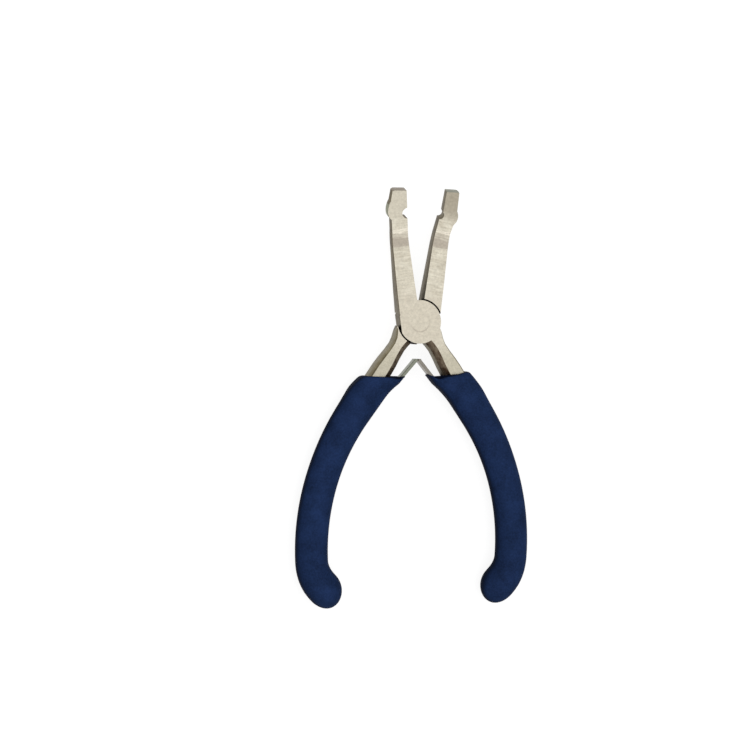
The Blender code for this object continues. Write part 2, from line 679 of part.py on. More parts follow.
def grip_stations():
    """Distances along the grip, each with the inset of its rounded rim."""
    stations = []
    for step in range(ROUND_STEPS + 1):
        turn = math.pi / 2.0 * step / ROUND_STEPS
        stations.append((MOUTH_REACH + MOUTH_ROUND * (1.0 - math.cos(turn)),
                         MOUTH_ROUND * (1.0 - math.sin(turn))))
    flared = MOUTH_REACH + MOUTH_ROUND
    skewed = MOUTH_REACH + MOUTH_SKEW_LENGTH
    stations += [(flared + (skewed - flared) * step / CAP_STEPS, 0.0) for step in range(1, CAP_STEPS + 1)]
    bow_end = HANDLE_STRAIGHT + BOW_LENGTH
    stations += [(skewed + (bow_end - skewed) * step / BOW_STEPS, 0.0) for step in range(1, BOW_STEPS + 1)]
    stations += [(bow_end + (KNOB_REACH - bow_end) * step / HOOK_STEPS, 0.0)
                 for step in range(1, HOOK_STEPS + 1)]
    last_turn = math.pi / 2.0 * (1.0 - 1.0 / (2.0 * CAP_STEPS))
    stations += [(KNOB_REACH + KNOB_CAP_LENGTH * math.sin(last_turn * step / CAP_STEPS), 0.0)
                 for step in range(1, CAP_STEPS + 1)]
    return stations


def make_grip(name, side, half, material):
    """Grip sleeve with its bore for the tang, channel for the leaf and pocket for the rivet head."""
    grip = skin_rings(name, [grip_ring(station, side, inset) for station, inset in grip_stations()])
    clear = LEAF_THICKNESS / 2.0 + LEAF_CHANNEL_GAP
    foot_end = LEAF_FOOT_REACH + LEAF_FOOT_LENGTH + LEAF_CHANNEL_GAP
    reaches = [0.0, LEAF_MOUTH_REACH]
    reaches += [LEAF_MOUTH_REACH + (LEAF_FOOT_REACH - LEAF_MOUTH_REACH) * step / LEAF_CURVE_STEPS
                for step in range(1, LEAF_CURVE_STEPS + 1)]
    reaches.append(foot_end)
    outline = [handle_place(reach, -leaf_offset(reach) - clear) for reach in reaches]
    outline += [handle_place(foot_end, 0.0), handle_place(0.0, 0.0)]
    outline = [Vector((side * point.x, point.y)) for point in outline]
    deep = LEAF_WIDTH / 2.0 + LEAF_CHANNEL_GAP
    floor = MID_HEIGHT - deep
    roof = MID_HEIGHT + deep
    channel = as_tool(extruded_outline(f"{name}_channel", outline, floor, roof), half)
    combine(grip, channel, "DIFFERENCE")
    pocket_top = pin_seat() + PIN_HEAD_HEIGHT + PIN_POCKET_GAP
    pocket_radius = PIN_HEAD_RADIUS + PIN_POCKET_GAP
    pocket_profile = [(0.0, pocket_top), (pocket_radius, pocket_top), (pocket_radius, 0.0), (0.0, 0.0)]
    pocket = as_tool(turned_profile(f"{name}_pocket", pocket_profile, PIN_SIDES), half)
    aim_pin(pocket, side)
    combine(grip, pocket, "DIFFERENCE")
    bore = as_tool(make_tang(f"{name}_bore", side, 0.0, TANG_LENGTH + GRIP_SEAT_GAP, GRIP_SEAT_GAP), half)
    combine(grip, bore, "DIFFERENCE")
    dress(grip, half, material)
    return grip


def dress(item, half, material):
    """Give a finished piece its half of the tool, its material and its shading."""
    item.parent = half
    item.data.materials.append(material)
    shade_round(item)


def make_half(name, turn):
    """Empty on the pivot axis that carries one half of the tool."""
    half = bpy.data.objects.new(name, None)
    half.rotation_euler = (0.0, 0.0, turn)
    bpy.context.scene.collection.objects.link(half)
    return half


def build():
    """Build both halves of the pliers."""
    clear_scene()
    steel = make_material("brushed_steel", (0.62, 0.58, 0.50), 0.38, 1.0)
    spring_steel = make_material("spring_steel", (0.40, 0.39, 0.34), 0.35, 1.0)
    vinyl = make_material("navy_vinyl", (0.012, 0.024, 0.078), 0.62, 0.0)
    front = make_half("front_half", HALF_OPENING)
    rear = make_half("rear_half", -HALF_OPENING)
    make_lever("front_lever", 1.0, True, front, steel)
    make_lever("rear_lever", -1.0, False, rear, steel)
    make_pivot_rivet(front, steel)
    for place, side, half in (("right", 1.0, front), ("left", -1.0, rear)):
        make_leaf(f"leaf_spring_{place}", side, half, spring_steel)
        make_spring_rivet(f"spring_rivet_{place}", side, half, spring_steel)
        make_grip(f"grip_{place}", side, half, vinyl)


build()
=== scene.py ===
"""Bail making pliers with a bent, notched nose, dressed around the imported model.

Each sub-assembly is a class that holds its sizes, models its meshes and dresses them. The finishes are
small frozen classes. Everything is in metres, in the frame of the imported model: +Y along the jaws, +Z up
from the table, and the origin on the pivot axis at the back face of the joint.
"""

import json
import logging
import math
from collections.abc import Callable
from dataclasses import dataclass
from enum import Enum

import bmesh
import bpy
from bpy.types import Material, Node, NodeSocket, NodeTree, Object
from mathutils import Matrix, Vector

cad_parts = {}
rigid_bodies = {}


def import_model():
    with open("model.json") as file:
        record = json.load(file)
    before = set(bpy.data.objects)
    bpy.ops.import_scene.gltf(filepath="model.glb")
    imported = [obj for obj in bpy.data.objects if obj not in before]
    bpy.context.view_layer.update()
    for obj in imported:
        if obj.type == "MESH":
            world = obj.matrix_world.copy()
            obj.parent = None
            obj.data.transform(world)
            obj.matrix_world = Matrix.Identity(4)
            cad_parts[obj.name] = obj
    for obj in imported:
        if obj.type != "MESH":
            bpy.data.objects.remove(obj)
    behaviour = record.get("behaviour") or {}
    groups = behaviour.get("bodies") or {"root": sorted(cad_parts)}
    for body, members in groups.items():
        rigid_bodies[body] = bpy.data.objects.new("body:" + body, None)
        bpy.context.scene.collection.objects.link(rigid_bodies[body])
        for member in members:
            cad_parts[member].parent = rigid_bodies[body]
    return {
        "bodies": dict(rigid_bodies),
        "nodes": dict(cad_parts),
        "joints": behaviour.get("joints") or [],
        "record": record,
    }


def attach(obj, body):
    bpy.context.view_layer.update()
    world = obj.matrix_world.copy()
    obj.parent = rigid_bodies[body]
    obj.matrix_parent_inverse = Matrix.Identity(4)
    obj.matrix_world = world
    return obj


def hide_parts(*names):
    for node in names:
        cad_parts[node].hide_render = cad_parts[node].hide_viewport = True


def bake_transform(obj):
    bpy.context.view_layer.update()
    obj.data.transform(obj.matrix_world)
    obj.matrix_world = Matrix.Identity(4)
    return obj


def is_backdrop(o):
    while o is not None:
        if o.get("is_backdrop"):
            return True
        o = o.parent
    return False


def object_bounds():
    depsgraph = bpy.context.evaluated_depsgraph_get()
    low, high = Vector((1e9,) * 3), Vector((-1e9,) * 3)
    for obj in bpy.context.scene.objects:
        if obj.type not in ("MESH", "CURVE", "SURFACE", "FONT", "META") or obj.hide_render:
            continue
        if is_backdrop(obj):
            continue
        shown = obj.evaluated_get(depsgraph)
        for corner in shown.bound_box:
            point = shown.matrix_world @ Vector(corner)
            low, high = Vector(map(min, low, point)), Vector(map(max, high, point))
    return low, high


MM = 0.001
DEG = math.pi / 180.0
FULL_TURN = 360.0 * DEG

# Sizes of the tool that more than one sub-assembly needs
OPENING = 18.0 * DEG
SPLAY = 24.2 * DEG
TANG_WIDTH = 5.8 * MM

# A colour mix's sockets share their names with its other kinds of mix, so they go by number
MIX_SHARE, MIX_FIRST, MIX_SECOND, MIX_RESULT = 0, 6, 7, 2

LOG = logging.getLogger("pliers")


class Side(Enum):
    """Which handle a piece belongs to; the value is the sign of its X."""

    RIGHT = 1.0
    LEFT = -1.0

    @property
    def body(self) -> str:
        """Name of the body that this handle belongs to."""
        return "front_half" if self is Side.RIGHT else "rear_half"

    @property
    def other_body(self) -> str:
        """Name of the body of the other handle."""
        return "rear_half" if self is Side.RIGHT else "front_half"

    @property
    def word(self) -> str:
        """The side in a piece's name."""
        return self.name.lower()


class Slot(Enum):
    """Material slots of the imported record."""

    STEEL = "satin_nickel_steel"
    SPRING = "spring_steel"
    VINYL = "navy_vinyl"


def linear_colour(code: str) -> tuple[float, float, float, float]:
    """Turn an sRGB hex value into linear red, green and blue.

    Args:
        code: Six hex digits after a hash.

    Returns:
        The linear colour with an alpha of one.
    """
    channels = []
    for start in (1, 3, 5):
        share = int(code[start:start + 2], 16) / 255.0
        channels.append(share / 12.92 if share <= 0.04045 else ((share + 0.055) / 1.055) ** 2.4)
    return (*channels, 1.0)


def add_node(
    tree: NodeTree,
    kind: str,
    values: dict[int | str, object] | None = None,
    links: dict[int | str, NodeSocket] | None = None,
    **settings: object,
) -> Node:
    """Add one shader node with its settings, socket values and incoming links.

    Args:
        tree: The node tree that gets the node.
        kind: Blender's name for the kind of node, without the ShaderNode that all of them start with.
        values: Values of the node's own sockets, by name or number.
        links: Sockets of other nodes that feed this one, by name or number.
        settings: Properties of the node.

    Returns:
        The new node.
    """
    node = tree.nodes.new(f"ShaderNode{kind}")
    for name, value in settings.items():
        setattr(node, name, value)
    for key, value in (values or {}).items():
        node.inputs[key].default_value = value
    for key, socket in (links or {}).items():
        tree.links.new(socket, node.inputs[key])
    return node


@dataclass(frozen=True)
class Finish:
    """What every finish has: the name of its material and process, its two tones and its start."""

    name: str
    light: str
    dark: str

    def begin(self) -> tuple[Material, NodeTree, Node, Node]:
        """Start a material.

        Returns:
            The material, its node tree, its shader and the node of the places on the piece.
        """
        material = bpy.data.materials.new(self.name)
        material.use_nodes = True
        tree = material.node_tree
        return material, tree, tree.nodes["Principled BSDF"], add_node(tree, "TexCoord")


@dataclass(frozen=True)
class Band:
    """A band of another tone on a ground face: its tone, run, soft edges and strength."""

    tone: str
    start: float
    end: float
    edge: float
    strength: float

    def mask(self, tree: NodeTree, place: NodeSocket) -> NodeSocket:
        """Mask of the band.

        Args:
            tree: The material's node tree.
            place: The value that the band lies along.

        Returns:
            The mask, which reaches the band's strength between its edges.
        """
        rise = add_node(tree, "MapRange",
                        {"From Min": self.start, "From Max": self.start + self.edge,
                         "To Min": 0.0, "To Max": self.strength},
                        {"Value": place}, interpolation_type="SMOOTHSTEP")
        fall = add_node(tree, "MapRange",
                        {"From Min": self.end - self.edge, "From Max": self.end,
                         "To Min": 1.0, "To Max": 0.0},
                        {"Value": place}, interpolation_type="SMOOTHSTEP")
        return add_node(tree, "Math", links={0: rise.outputs["Result"], 1: fall.outputs["Result"]},
                        operation="MULTIPLY").outputs["Value"]


@dataclass(frozen=True)
class GroundNickel(Finish):
    """Satin nickel plate over a face ground flat across the jaw.

    The grinding leaves fine lines square to the jaw, which give the eye a soft satin that is a little
    brighter and darker from line to line. The joint is ground smoother and shows only a faint cloud. The
    bent nose has painted light: a pale line of painted highlight where the bend catches the light, above
    duller bands of painted shade where it turns away. Each nose is painted towards its own tone near the
    tip, a painted shade where the tilted tip takes less light, darkest on the rear lever.
    """

    # Tone of the nose's painted shade, where the tilted tip takes less light
    nose: str
    turn: float
    joint: str = "#D5CDBC"
    tang: str = "#C3BDA9"
    mark: str = "#B4AA9C"

    # Painted light on the bent nose: two duller bands of painted shade where the bend turns from the light
    # and a pale line of painted highlight where it catches it, which waver with the grinding
    bend_light_bands: tuple[Band, ...] = (
        Band("#B4AA9C", 22.0 * MM, 25.6 * MM, 1.0 * MM, 0.8),
        Band("#B4AA9C", 22.0 * MM, 27.3 * MM, 1.4 * MM, 0.4),
        Band("#F3EBDB", 26.6 * MM, 27.7 * MM, 0.4 * MM, 0.85),
    )
    bend_light_waver: float = 2.2 * MM

    # The wheel's lines are about 0.1 mm apart and its grit is as fine, so both are drawn coarser to show
    line_spacing: float = 0.5 * MM
    line_length: float = 6.0 * MM
    grit_size: float = 0.7 * MM
    grit_depth: float = 0.12

    # Clouds between the two tones, and how gloss and relief follow the lines
    cloud_size: float = 3.5 * MM
    cloud_share: float = 0.4
    tone_low: float = 0.38
    tone_high: float = 0.62
    smoothest: float = 0.34
    roughest: float = 0.48
    relief: float = 0.25
    relief_depth: float = 0.02 * MM

    # Where the joint's and the tang's own tones and the nose's painted shade start and are full
    joint_radius: float = 6.4 * MM
    joint_strength: float = 0.75
    nose_shade_start: float = 29.0 * MM
    nose_shade_full: float = 34.0 * MM
    nose_shade_strength: float = 0.8
    tang_start: float = 6.5 * MM
    tang_full: float = 13.0 * MM
    tang_strength: float = 0.8

    # The dull arc around the lower half of the rivet
    mark_radius: float = 3.0 * MM
    mark_width: float = 0.5 * MM
    mark_strength: float = 0.9

    def make(self) -> Material:
        """Build the material.

        Returns:
            The material.
        """
        material, tree, shader, place = self.begin()
        square = add_node(tree, "Mapping", {"Rotation": (0.0, 0.0, self.turn)},
                          {"Vector": place.outputs["Object"]})
        along = 1.0 / self.line_length
        stretch = add_node(tree, "Mapping", {"Scale": (along, 1.0 / self.line_spacing, along)},
                           {"Vector": square.outputs["Vector"]})
        lines = add_node(tree, "TexNoise", {"Scale": 1.0, "Detail": 4.0, "Roughness": 0.7},
                         {"Vector": stretch.outputs["Vector"]})
        cloud = add_node(tree, "TexNoise",
                         {"Scale": 1.0 / self.cloud_size, "Detail": 4.0, "Roughness": 0.65},
                         {"Vector": square.outputs["Vector"]})
        axes = add_node(tree, "SeparateXYZ", links={"Vector": square.outputs["Vector"]})
        flat = add_node(tree, "CombineXYZ", links={0: axes.outputs["X"], 1: axes.outputs["Y"]})
        radius = add_node(tree, "VectorMath", links={0: flat.outputs["Vector"]}, operation="LENGTH")
        tints = []
        for tint, run, start, end, at_start, at_end in (
                (self.joint, radius.outputs["Value"], self.joint_radius,
                 self.joint_radius + self.line_length, self.joint_strength, 0.0),
                (self.nose, axes.outputs["Y"], self.nose_shade_start, self.nose_shade_full, 0.0, self.nose_shade_strength),
                (self.tang, axes.outputs["Y"], -self.tang_start, -self.tang_full, 0.0, self.tang_strength)):
            fade = add_node(tree, "MapRange",
                            {"From Min": start, "From Max": end, "To Min": at_start, "To Max": at_end},
                            {"Value": run}, interpolation_type="SMOOTHSTEP")
            tints.append((tint, fade.outputs["Result"]))
        side = add_node(tree, "MapRange",
                        {"From Min": self.mark_radius / 2.0, "From Max": -self.mark_radius},
                        {"Value": axes.outputs["Y"]}, interpolation_type="SMOOTHSTEP")
        ring = Band(self.mark, self.mark_radius - self.mark_width, self.mark_radius + self.mark_width / 2.0,
                    self.mark_width, self.mark_strength).mask(tree, radius.outputs["Value"])
        mark = add_node(tree, "Math", links={0: ring, 1: side.outputs["Result"]}, operation="MULTIPLY")
        share = add_node(tree, "Math", {1: self.cloud_share}, {0: cloud.outputs["Fac"]},
                         operation="MULTIPLY")
        total = add_node(tree, "Math", {1: 1.0 - self.cloud_share},
                         {0: lines.outputs["Fac"], 2: share.outputs["Value"]}, operation="MULTIPLY_ADD")
        tone = add_node(tree, "MapRange", {"From Min": self.tone_low, "From Max": self.tone_high},
                        {"Value": total.outputs["Value"]})
        colour = add_node(tree, "Mix",
                          {MIX_FIRST: linear_colour(self.dark), MIX_SECOND: linear_colour(self.light)},
                          {MIX_SHARE: tone.outputs["Result"]}, data_type="RGBA").outputs[MIX_RESULT]
        # Painted shade and painted highlight of the bend, wavering with the grinding lines
        waver = add_node(tree, "MapRange", {"To Min": -self.bend_light_waver, "To Max": self.bend_light_waver},
                         {"Value": lines.outputs["Fac"]})
        bend_run = add_node(tree, "Math", links={0: axes.outputs["Y"], 1: waver.outputs["Result"]},
                         operation="ADD").outputs["Value"]
        tints += [(band.tone, band.mask(tree, bend_run)) for band in self.bend_light_bands]
        tints.append((self.mark, mark.outputs["Value"]))
        for tint, mask in tints:
            colour = add_node(tree, "Mix", {MIX_SECOND: linear_colour(tint)},
                              {MIX_SHARE: mask, MIX_FIRST: colour}, data_type="RGBA").outputs[MIX_RESULT]
        grit = add_node(tree, "TexNoise", {"Scale": 1.0 / self.grit_size, "Detail": 3.0, "Roughness": 0.7},
                        {"Vector": square.outputs["Vector"]})
        speck = add_node(tree, "MapRange",
                         {"From Min": 0.3, "From Max": 0.7,
                          "To Min": 1.0 - self.grit_depth, "To Max": 1.0 + self.grit_depth},
                         {"Value": grit.outputs["Fac"]})
        colour = add_node(tree, "VectorMath", links={0: colour, "Scale": speck.outputs["Result"]},
                          operation="SCALE").outputs["Vector"]
        tree.links.new(colour, shader.inputs["Base Color"])
        shader.inputs["Metallic"].default_value = 1.0
        gloss = add_node(tree, "MapRange", {"To Min": self.smoothest, "To Max": self.roughest},
                         {"Value": lines.outputs["Fac"]})
        tree.links.new(gloss.outputs["Result"], shader.inputs["Roughness"])
        bump = add_node(tree, "Bump", {"Strength": self.relief, "Distance": self.relief_depth},
                        {"Height": lines.outputs["Fac"]})
        tree.links.new(bump.outputs["Normal"], shader.inputs["Normal"])
        return material


@dataclass(frozen=True)
class ForgedNickel(Finish):
    """Nickel plate over the sides as forged, left unground.

    The scale of the forging stays under the plate, so the sides look brownish, with soft mottling. Their
    dark tone is partly that scale and partly painted shade, as the sides face away from the light, and a
    lever's side zones get lighter and darker copies of this finish by which way they face.
    """

    mottle_size: float = 2.0 * MM
    grit_size: float = 0.3 * MM
    tone_low: float = 0.35
    tone_high: float = 0.65
    smoothest: float = 0.42
    roughest: float = 0.58
    relief: float = 0.4
    relief_depth: float = 0.03 * MM

    def make(self) -> Material:
        """Build the material.

        Returns:
            The material.
        """
        material, tree, shader, place = self.begin()
        mottle = add_node(tree, "TexNoise",
                          {"Scale": 1.0 / self.mottle_size, "Detail": 4.0, "Roughness": 0.6},
                          {"Vector": place.outputs["Object"]})
        grit = add_node(tree, "TexNoise", {"Scale": 1.0 / self.grit_size, "Detail": 2.0},
                        {"Vector": place.outputs["Object"]})
        tone = add_node(tree, "MapRange", {"From Min": self.tone_low, "From Max": self.tone_high},
                        {"Value": mottle.outputs["Fac"]})
        colour = add_node(tree, "Mix",
                          {MIX_FIRST: linear_colour(self.dark), MIX_SECOND: linear_colour(self.light)},
                          {MIX_SHARE: tone.outputs["Result"]}, data_type="RGBA")
        tree.links.new(colour.outputs[MIX_RESULT], shader.inputs["Base Color"])
        shader.inputs["Metallic"].default_value = 1.0
        gloss = add_node(tree, "MapRange", {"To Min": self.smoothest, "To Max": self.roughest},
                         {"Value": mottle.outputs["Fac"]})
        tree.links.new(gloss.outputs["Result"], shader.inputs["Roughness"])
        bump = add_node(tree, "Bump", {"Strength": self.relief, "Distance": self.relief_depth},
                        {"Height": grit.outputs["Fac"]})
        tree.links.new(bump.outputs["Normal"], shader.inputs["Normal"])
        return material


@dataclass(frozen=True)
class RolledSpring(Finish):
    """Spring steel strip, rolled and tempered.

    Rolling leaves a smooth grey face, clouded a little by the heat of tempering, with a slight green or
    brown cast.
    """

    cloud_size: float = 2.5 * MM
    smoothest: float = 0.28
    roughest: float = 0.42

    def make(self) -> Material:
        """Build the material.

        Returns:
            The material.
        """
        material, tree, shader, place = self.begin()
        cloud = add_node(tree, "TexNoise",
                         {"Scale": 1.0 / self.cloud_size, "Detail": 5.0, "Roughness": 0.7},
                         {"Vector": place.outputs["Object"]})
        colour = add_node(tree, "Mix",
                          {MIX_FIRST: linear_colour(self.dark), MIX_SECOND: linear_colour(self.light)},
                          {MIX_SHARE: cloud.outputs["Fac"]}, data_type="RGBA")
        tree.links.new(colour.outputs[MIX_RESULT], shader.inputs["Base Color"])
        shader.inputs["Metallic"].default_value = 1.0
        gloss = add_node(tree, "MapRange", {"To Min": self.smoothest, "To Max": self.roughest},
                         {"Value": cloud.outputs["Fac"]})
        tree.links.new(gloss.outputs["Result"], shader.inputs["Roughness"])
        return material


@dataclass(frozen=True)
class DippedVinyl(Finish):
    """Navy vinyl, moulded over the tang with a matt, finely pebbled skin.

    The pebbling breaks up the highlight, so the grip reads as one dark navy with a faint grain. The rim,
    the tips and the rounded flanks, which turn away from the light, are painted darker as painted shade.
    """

    # Colour of the painted shade on the flanks, the rim and the tips
    flank_shade: str = "#0A1226"
    # The real pebbles are about 0.3 mm wide and are drawn coarser to show
    grain_size: float = 0.55 * MM
    cloud_size: float = 5.0 * MM
    cloud_share: float = 0.5
    tone_low: float = 0.35
    tone_high: float = 0.65
    roughness: float = 0.62
    # Soft vinyl scatters its gloss so widely that next to none is left to see
    specular: float = 0.02
    relief: float = 0.5
    relief_depth: float = 0.06 * MM
    # Where the flanks' painted shade starts and is full, by how far the face turns from straight up
    flank_shade_from: float = 0.62
    flank_shade_to: float = 0.12

    def make(self) -> Material:
        """Build the material.

        Returns:
            The material.
        """
        material, tree, shader, place = self.begin()
        grain = add_node(tree, "TexNoise",
                         {"Scale": 1.0 / self.grain_size, "Detail": 3.0, "Roughness": 0.6},
                         {"Vector": place.outputs["Object"]})
        cloud = add_node(tree, "TexNoise", {"Scale": 1.0 / self.cloud_size, "Detail": 2.0},
                         {"Vector": place.outputs["Object"]})
        share = add_node(tree, "Math", {1: self.cloud_share}, {0: cloud.outputs["Fac"]},
                         operation="MULTIPLY")
        total = add_node(tree, "Math", {1: 1.0 - self.cloud_share},
                         {0: grain.outputs["Fac"], 2: share.outputs["Value"]}, operation="MULTIPLY_ADD")
        tone = add_node(tree, "MapRange", {"From Min": self.tone_low, "From Max": self.tone_high},
                        {"Value": total.outputs["Value"]})
        colour = add_node(tree, "Mix",
                          {MIX_FIRST: linear_colour(self.dark), MIX_SECOND: linear_colour(self.light)},
                          {MIX_SHARE: tone.outputs["Result"]}, data_type="RGBA")
        # Painted shade: the more a face turns from straight up, the darker it is painted
        facing = add_node(tree, "SeparateXYZ", links={"Vector": place.outputs["Normal"]})
        up = add_node(tree, "Math", links={0: facing.outputs["Z"]}, operation="ABSOLUTE")
        flank = add_node(tree, "MapRange", {"From Min": self.flank_shade_from, "From Max": self.flank_shade_to},
                         {"Value": up.outputs["Value"]}, interpolation_type="SMOOTHSTEP")
        colour = add_node(tree, "Mix", {MIX_SECOND: linear_colour(self.flank_shade)},
                          {MIX_SHARE: flank.outputs["Result"], MIX_FIRST: colour.outputs[MIX_RESULT]},
                          data_type="RGBA")
        tree.links.new(colour.outputs[MIX_RESULT], shader.inputs["Base Color"])
        shader.inputs["Roughness"].default_value = self.roughness
        shader.inputs["Specular IOR Level"].default_value = self.specular
        bump = add_node(tree, "Bump", {"Strength": self.relief, "Distance": self.relief_depth},
                        {"Height": grain.outputs["Fac"]})
        tree.links.new(bump.outputs["Normal"], shader.inputs["Normal"])
        return material


@dataclass(frozen=True)
class Ring:
    """One section of a swept piece, square to the XY plane."""

    centre: Vector
    turn: float
    half_across: float
    half_up: float
    corner_share: float


class Bench:
    """The hand operations that the pieces are modelled with."""

    # A run this short along an axis is none, and faces this flat to each other are one
    LEVEL_RUN: float = 1e-5
    FLAT_ANGLE: float = 0.5 * DEG

    @staticmethod
    def clear_selection() -> None:
        """Select nothing."""
        if bpy.context.object and bpy.context.object.mode != "OBJECT":
            bpy.ops.object.mode_set(mode="OBJECT")
        bpy.ops.object.select_all(action="DESELECT")

    @staticmethod
    def take(piece: Object) -> None:
        """Select one piece alone and make it the active one.

        Args:
            piece: The piece.
        """
        Bench.clear_selection()
        piece.hide_set(False)
        piece.select_set(True)
        bpy.context.view_layer.objects.active = piece

    @staticmethod
    def set_in_place(piece: Object) -> None:
        """Move the piece's place, turn and size into its mesh."""
        Bench.take(piece)
        bpy.ops.object.transform_apply(location=True, rotation=True, scale=True)

    @staticmethod
    def ring(section: Ring, steps: int, cuts: int) -> Object:
        """Model one section: a square whose corners are rounded off, turned and set in place.

        Args:
            section: Place, size and corner rounding of the section.
            steps: Segments of each rounded corner.
            cuts: Points added along each straight side.

        Returns:
            A closed wire of edges.
        """
        Bench.clear_selection()
        bpy.ops.mesh.primitive_plane_add(size=2.0, location=(0.0, 0.0, 0.0))
        piece = bpy.context.object
        bpy.ops.object.mode_set(mode="EDIT")
        bpy.ops.mesh.select_all(action="SELECT")
        bpy.ops.mesh.bevel(offset=section.corner_share, segments=steps, profile=0.5, affect="VERTICES")
        bpy.ops.mesh.select_all(action="SELECT")
        bpy.ops.mesh.delete(type="ONLY_FACE")
        if cuts:
            outline = bmesh.from_edit_mesh(piece.data)
            for edge in outline.edges:
                run = edge.verts[0].co - edge.verts[1].co
                edge.select = min(abs(run.x), abs(run.y)) < Bench.LEVEL_RUN
            outline.select_flush_mode()
            bmesh.update_edit_mesh(piece.data)
            bpy.ops.mesh.subdivide(number_cuts=cuts)
        bpy.ops.object.mode_set(mode="OBJECT")
        piece.scale = (section.half_across, section.half_up, 1.0)
        piece.rotation_euler = (math.pi / 2.0, 0.0, section.turn)
        piece.location = section.centre
        Bench.set_in_place(piece)
        return piece

    @staticmethod
    def sweep(name: str, sections: list[Ring], steps: int, cuts: int = 0) -> Object:
        """Bridge a row of sections to a closed solid.

        Args:
            name: Name of the new piece.
            sections: The sections, from one end to the other.
            steps: Segments of each rounded corner.
            cuts: Points added along each straight side.

        Returns:
            The closed solid.
        """
        rings = [Bench.ring(section, steps, cuts) for section in sections]
        count = len(rings[0].data.vertices)
        Bench.clear_selection()
        for ring in rings:
            ring.select_set(True)
        piece = rings[0]
        bpy.context.view_layer.objects.active = piece
        bpy.ops.object.join()
        piece.name = name
        piece.data.name = name
        bpy.ops.object.mode_set(mode="EDIT")
        for first in range(len(sections) - 1):
            Bench.select_points(piece, range(first * count, (first + 2) * count))
            bpy.ops.mesh.bridge_edge_loops()
        for first in (0, len(sections) - 1):
            Bench.select_points(piece, range(first * count, (first + 1) * count))
            bpy.ops.mesh.edge_face_add()
        bpy.ops.mesh.select_all(action="SELECT")
        bpy.ops.mesh.normals_make_consistent(inside=False)
        bpy.ops.object.mode_set(mode="OBJECT")
        return piece

    @staticmethod
    def select_points(piece: Object, chosen: range) -> None:
        """Select points by number, and the loose or open edges between them, in edit mode.

        Args:
            piece: The piece that is being edited.
            chosen: The points' numbers.
        """
        builder = bmesh.from_edit_mesh(piece.data)
        for part in (*builder.faces, *builder.edges):
            part.select = False
        for point in builder.verts:
            point.select = point.index in chosen
        builder.select_flush_mode()
        for edge in builder.edges:
            edge.select = len(edge.link_faces) < 2 and all(point.index in chosen for point in edge.verts)
        bmesh.update_edit_mesh(piece.data)

    @staticmethod
    def pick(piece: Object, chosen: Callable[[Vector], bool],
             frame: Matrix | None = None) -> None:
        """Go into edit mode on a piece and select the points whose place passes a test.

        Args:
            piece: The piece.
            chosen: The test of a point's place.
            frame: Turn from the world to the frame that the test reads the place in, if another.
        """
        Bench.take(piece)
        bpy.ops.object.mode_set(mode="EDIT")
        points = bmesh.from_edit_mesh(piece.data)
        for point in points.verts:
            point.select = chosen(point.co if frame is None else frame @ point.co)
        points.select_flush_mode()
        bmesh.update_edit_mesh(piece.data)

    @staticmethod
    def push_out(radius: float, rise: float) -> None:
        """Push what is selected out from the pivot axis, and leave edit mode.

        Args:
            radius: Radius at which the rise holds.
            rise: How far points at that radius move.
        """
        swell = 1.0 + rise / radius
        bpy.ops.transform.resize(value=(swell, swell, 1.0), center_override=(0.0, 0.0, 0.0))
        bpy.ops.object.mode_set(mode="OBJECT")

    @staticmethod
    def resize(value: tuple[float, float, float], centre: tuple[float, float, float],
               frame: Matrix) -> None:
        """Resize what is selected along the axes of a turned frame, and leave edit mode.

        Args:
            value: Factors along the frame's axes.
            centre: What stays in place, in the frame.
            frame: Turn from the world to the frame.
        """
        back = frame.transposed()
        bpy.ops.transform.resize(value=value, orient_type="GLOBAL", orient_matrix=back,
                                 orient_matrix_type="GLOBAL", center_override=back @ Vector(centre))
        bpy.ops.object.mode_set(mode="OBJECT")

    @staticmethod
    def finish_modifier(piece: Object, name: str) -> None:
        """Apply one modifier."""
        Bench.take(piece)
        bpy.ops.object.modifier_apply(modifier=name)

    @staticmethod
    def cut(piece: Object, cutter: Object) -> None:
        """Cut one solid out of another and throw the cutter away.

        Args:
            piece: The solid that is cut.
            cutter: The solid that cuts it.
        """
        modifier = piece.modifiers.new("cut", "BOOLEAN")
        modifier.operation = "DIFFERENCE"
        modifier.solver = "EXACT"
        modifier.object = cutter
        Bench.finish_modifier(piece, modifier.name)
        bpy.data.objects.remove(cutter, do_unlink=True)

    @staticmethod
    def copy_of(node: Object, name: str, merge: float) -> Object:
        """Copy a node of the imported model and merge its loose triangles.

        Args:
            node: The node, which stays as it is.
            name: Name of the copy.
            merge: Distance within which points are one point.

        Returns:
            The copy, with whole faces and no parent.
        """
        piece = node.copy()
        piece.data = node.data.copy()
        for key in list(piece.keys()):
            del piece[key]
        piece.parent = None
        piece.matrix_world = Matrix.Identity(4)
        piece.name = name
        piece.data.name = name
        piece.data.materials.clear()
        bpy.context.scene.collection.objects.link(piece)
        Bench.take(piece)
        bpy.ops.object.mode_set(mode="EDIT")
        bpy.ops.mesh.customdata_custom_splitnormals_clear()
        bpy.ops.mesh.select_all(action="SELECT")
        bpy.ops.mesh.remove_doubles(threshold=merge)
        bpy.ops.mesh.dissolve_limited(angle_limit=Bench.FLAT_ANGLE)
        bpy.ops.object.mode_set(mode="OBJECT")
        return piece

    @staticmethod
    def shade(piece: Object, angle: float) -> None:
        """Smooth shading below an angle."""
        Bench.take(piece)
        bpy.ops.object.shade_smooth_by_angle(angle=angle)


class Zone(Enum):
    """Zones of a lever, each with its own finish, toned lighter or darker by which way it faces as painted
    light and shade; the value is the finish's place on the lever.
    """

    GROUND = 0
    JAW_SIDE = 1
    EAR_SIDE = 2
    NOSE_END = 3
    TANG_EDGE = 4
    TANG_BEVEL = 5
    TANG_INNER = 6
    # The lap is painted near black: painted shade in the narrow slit between the levers
    LAP = 7


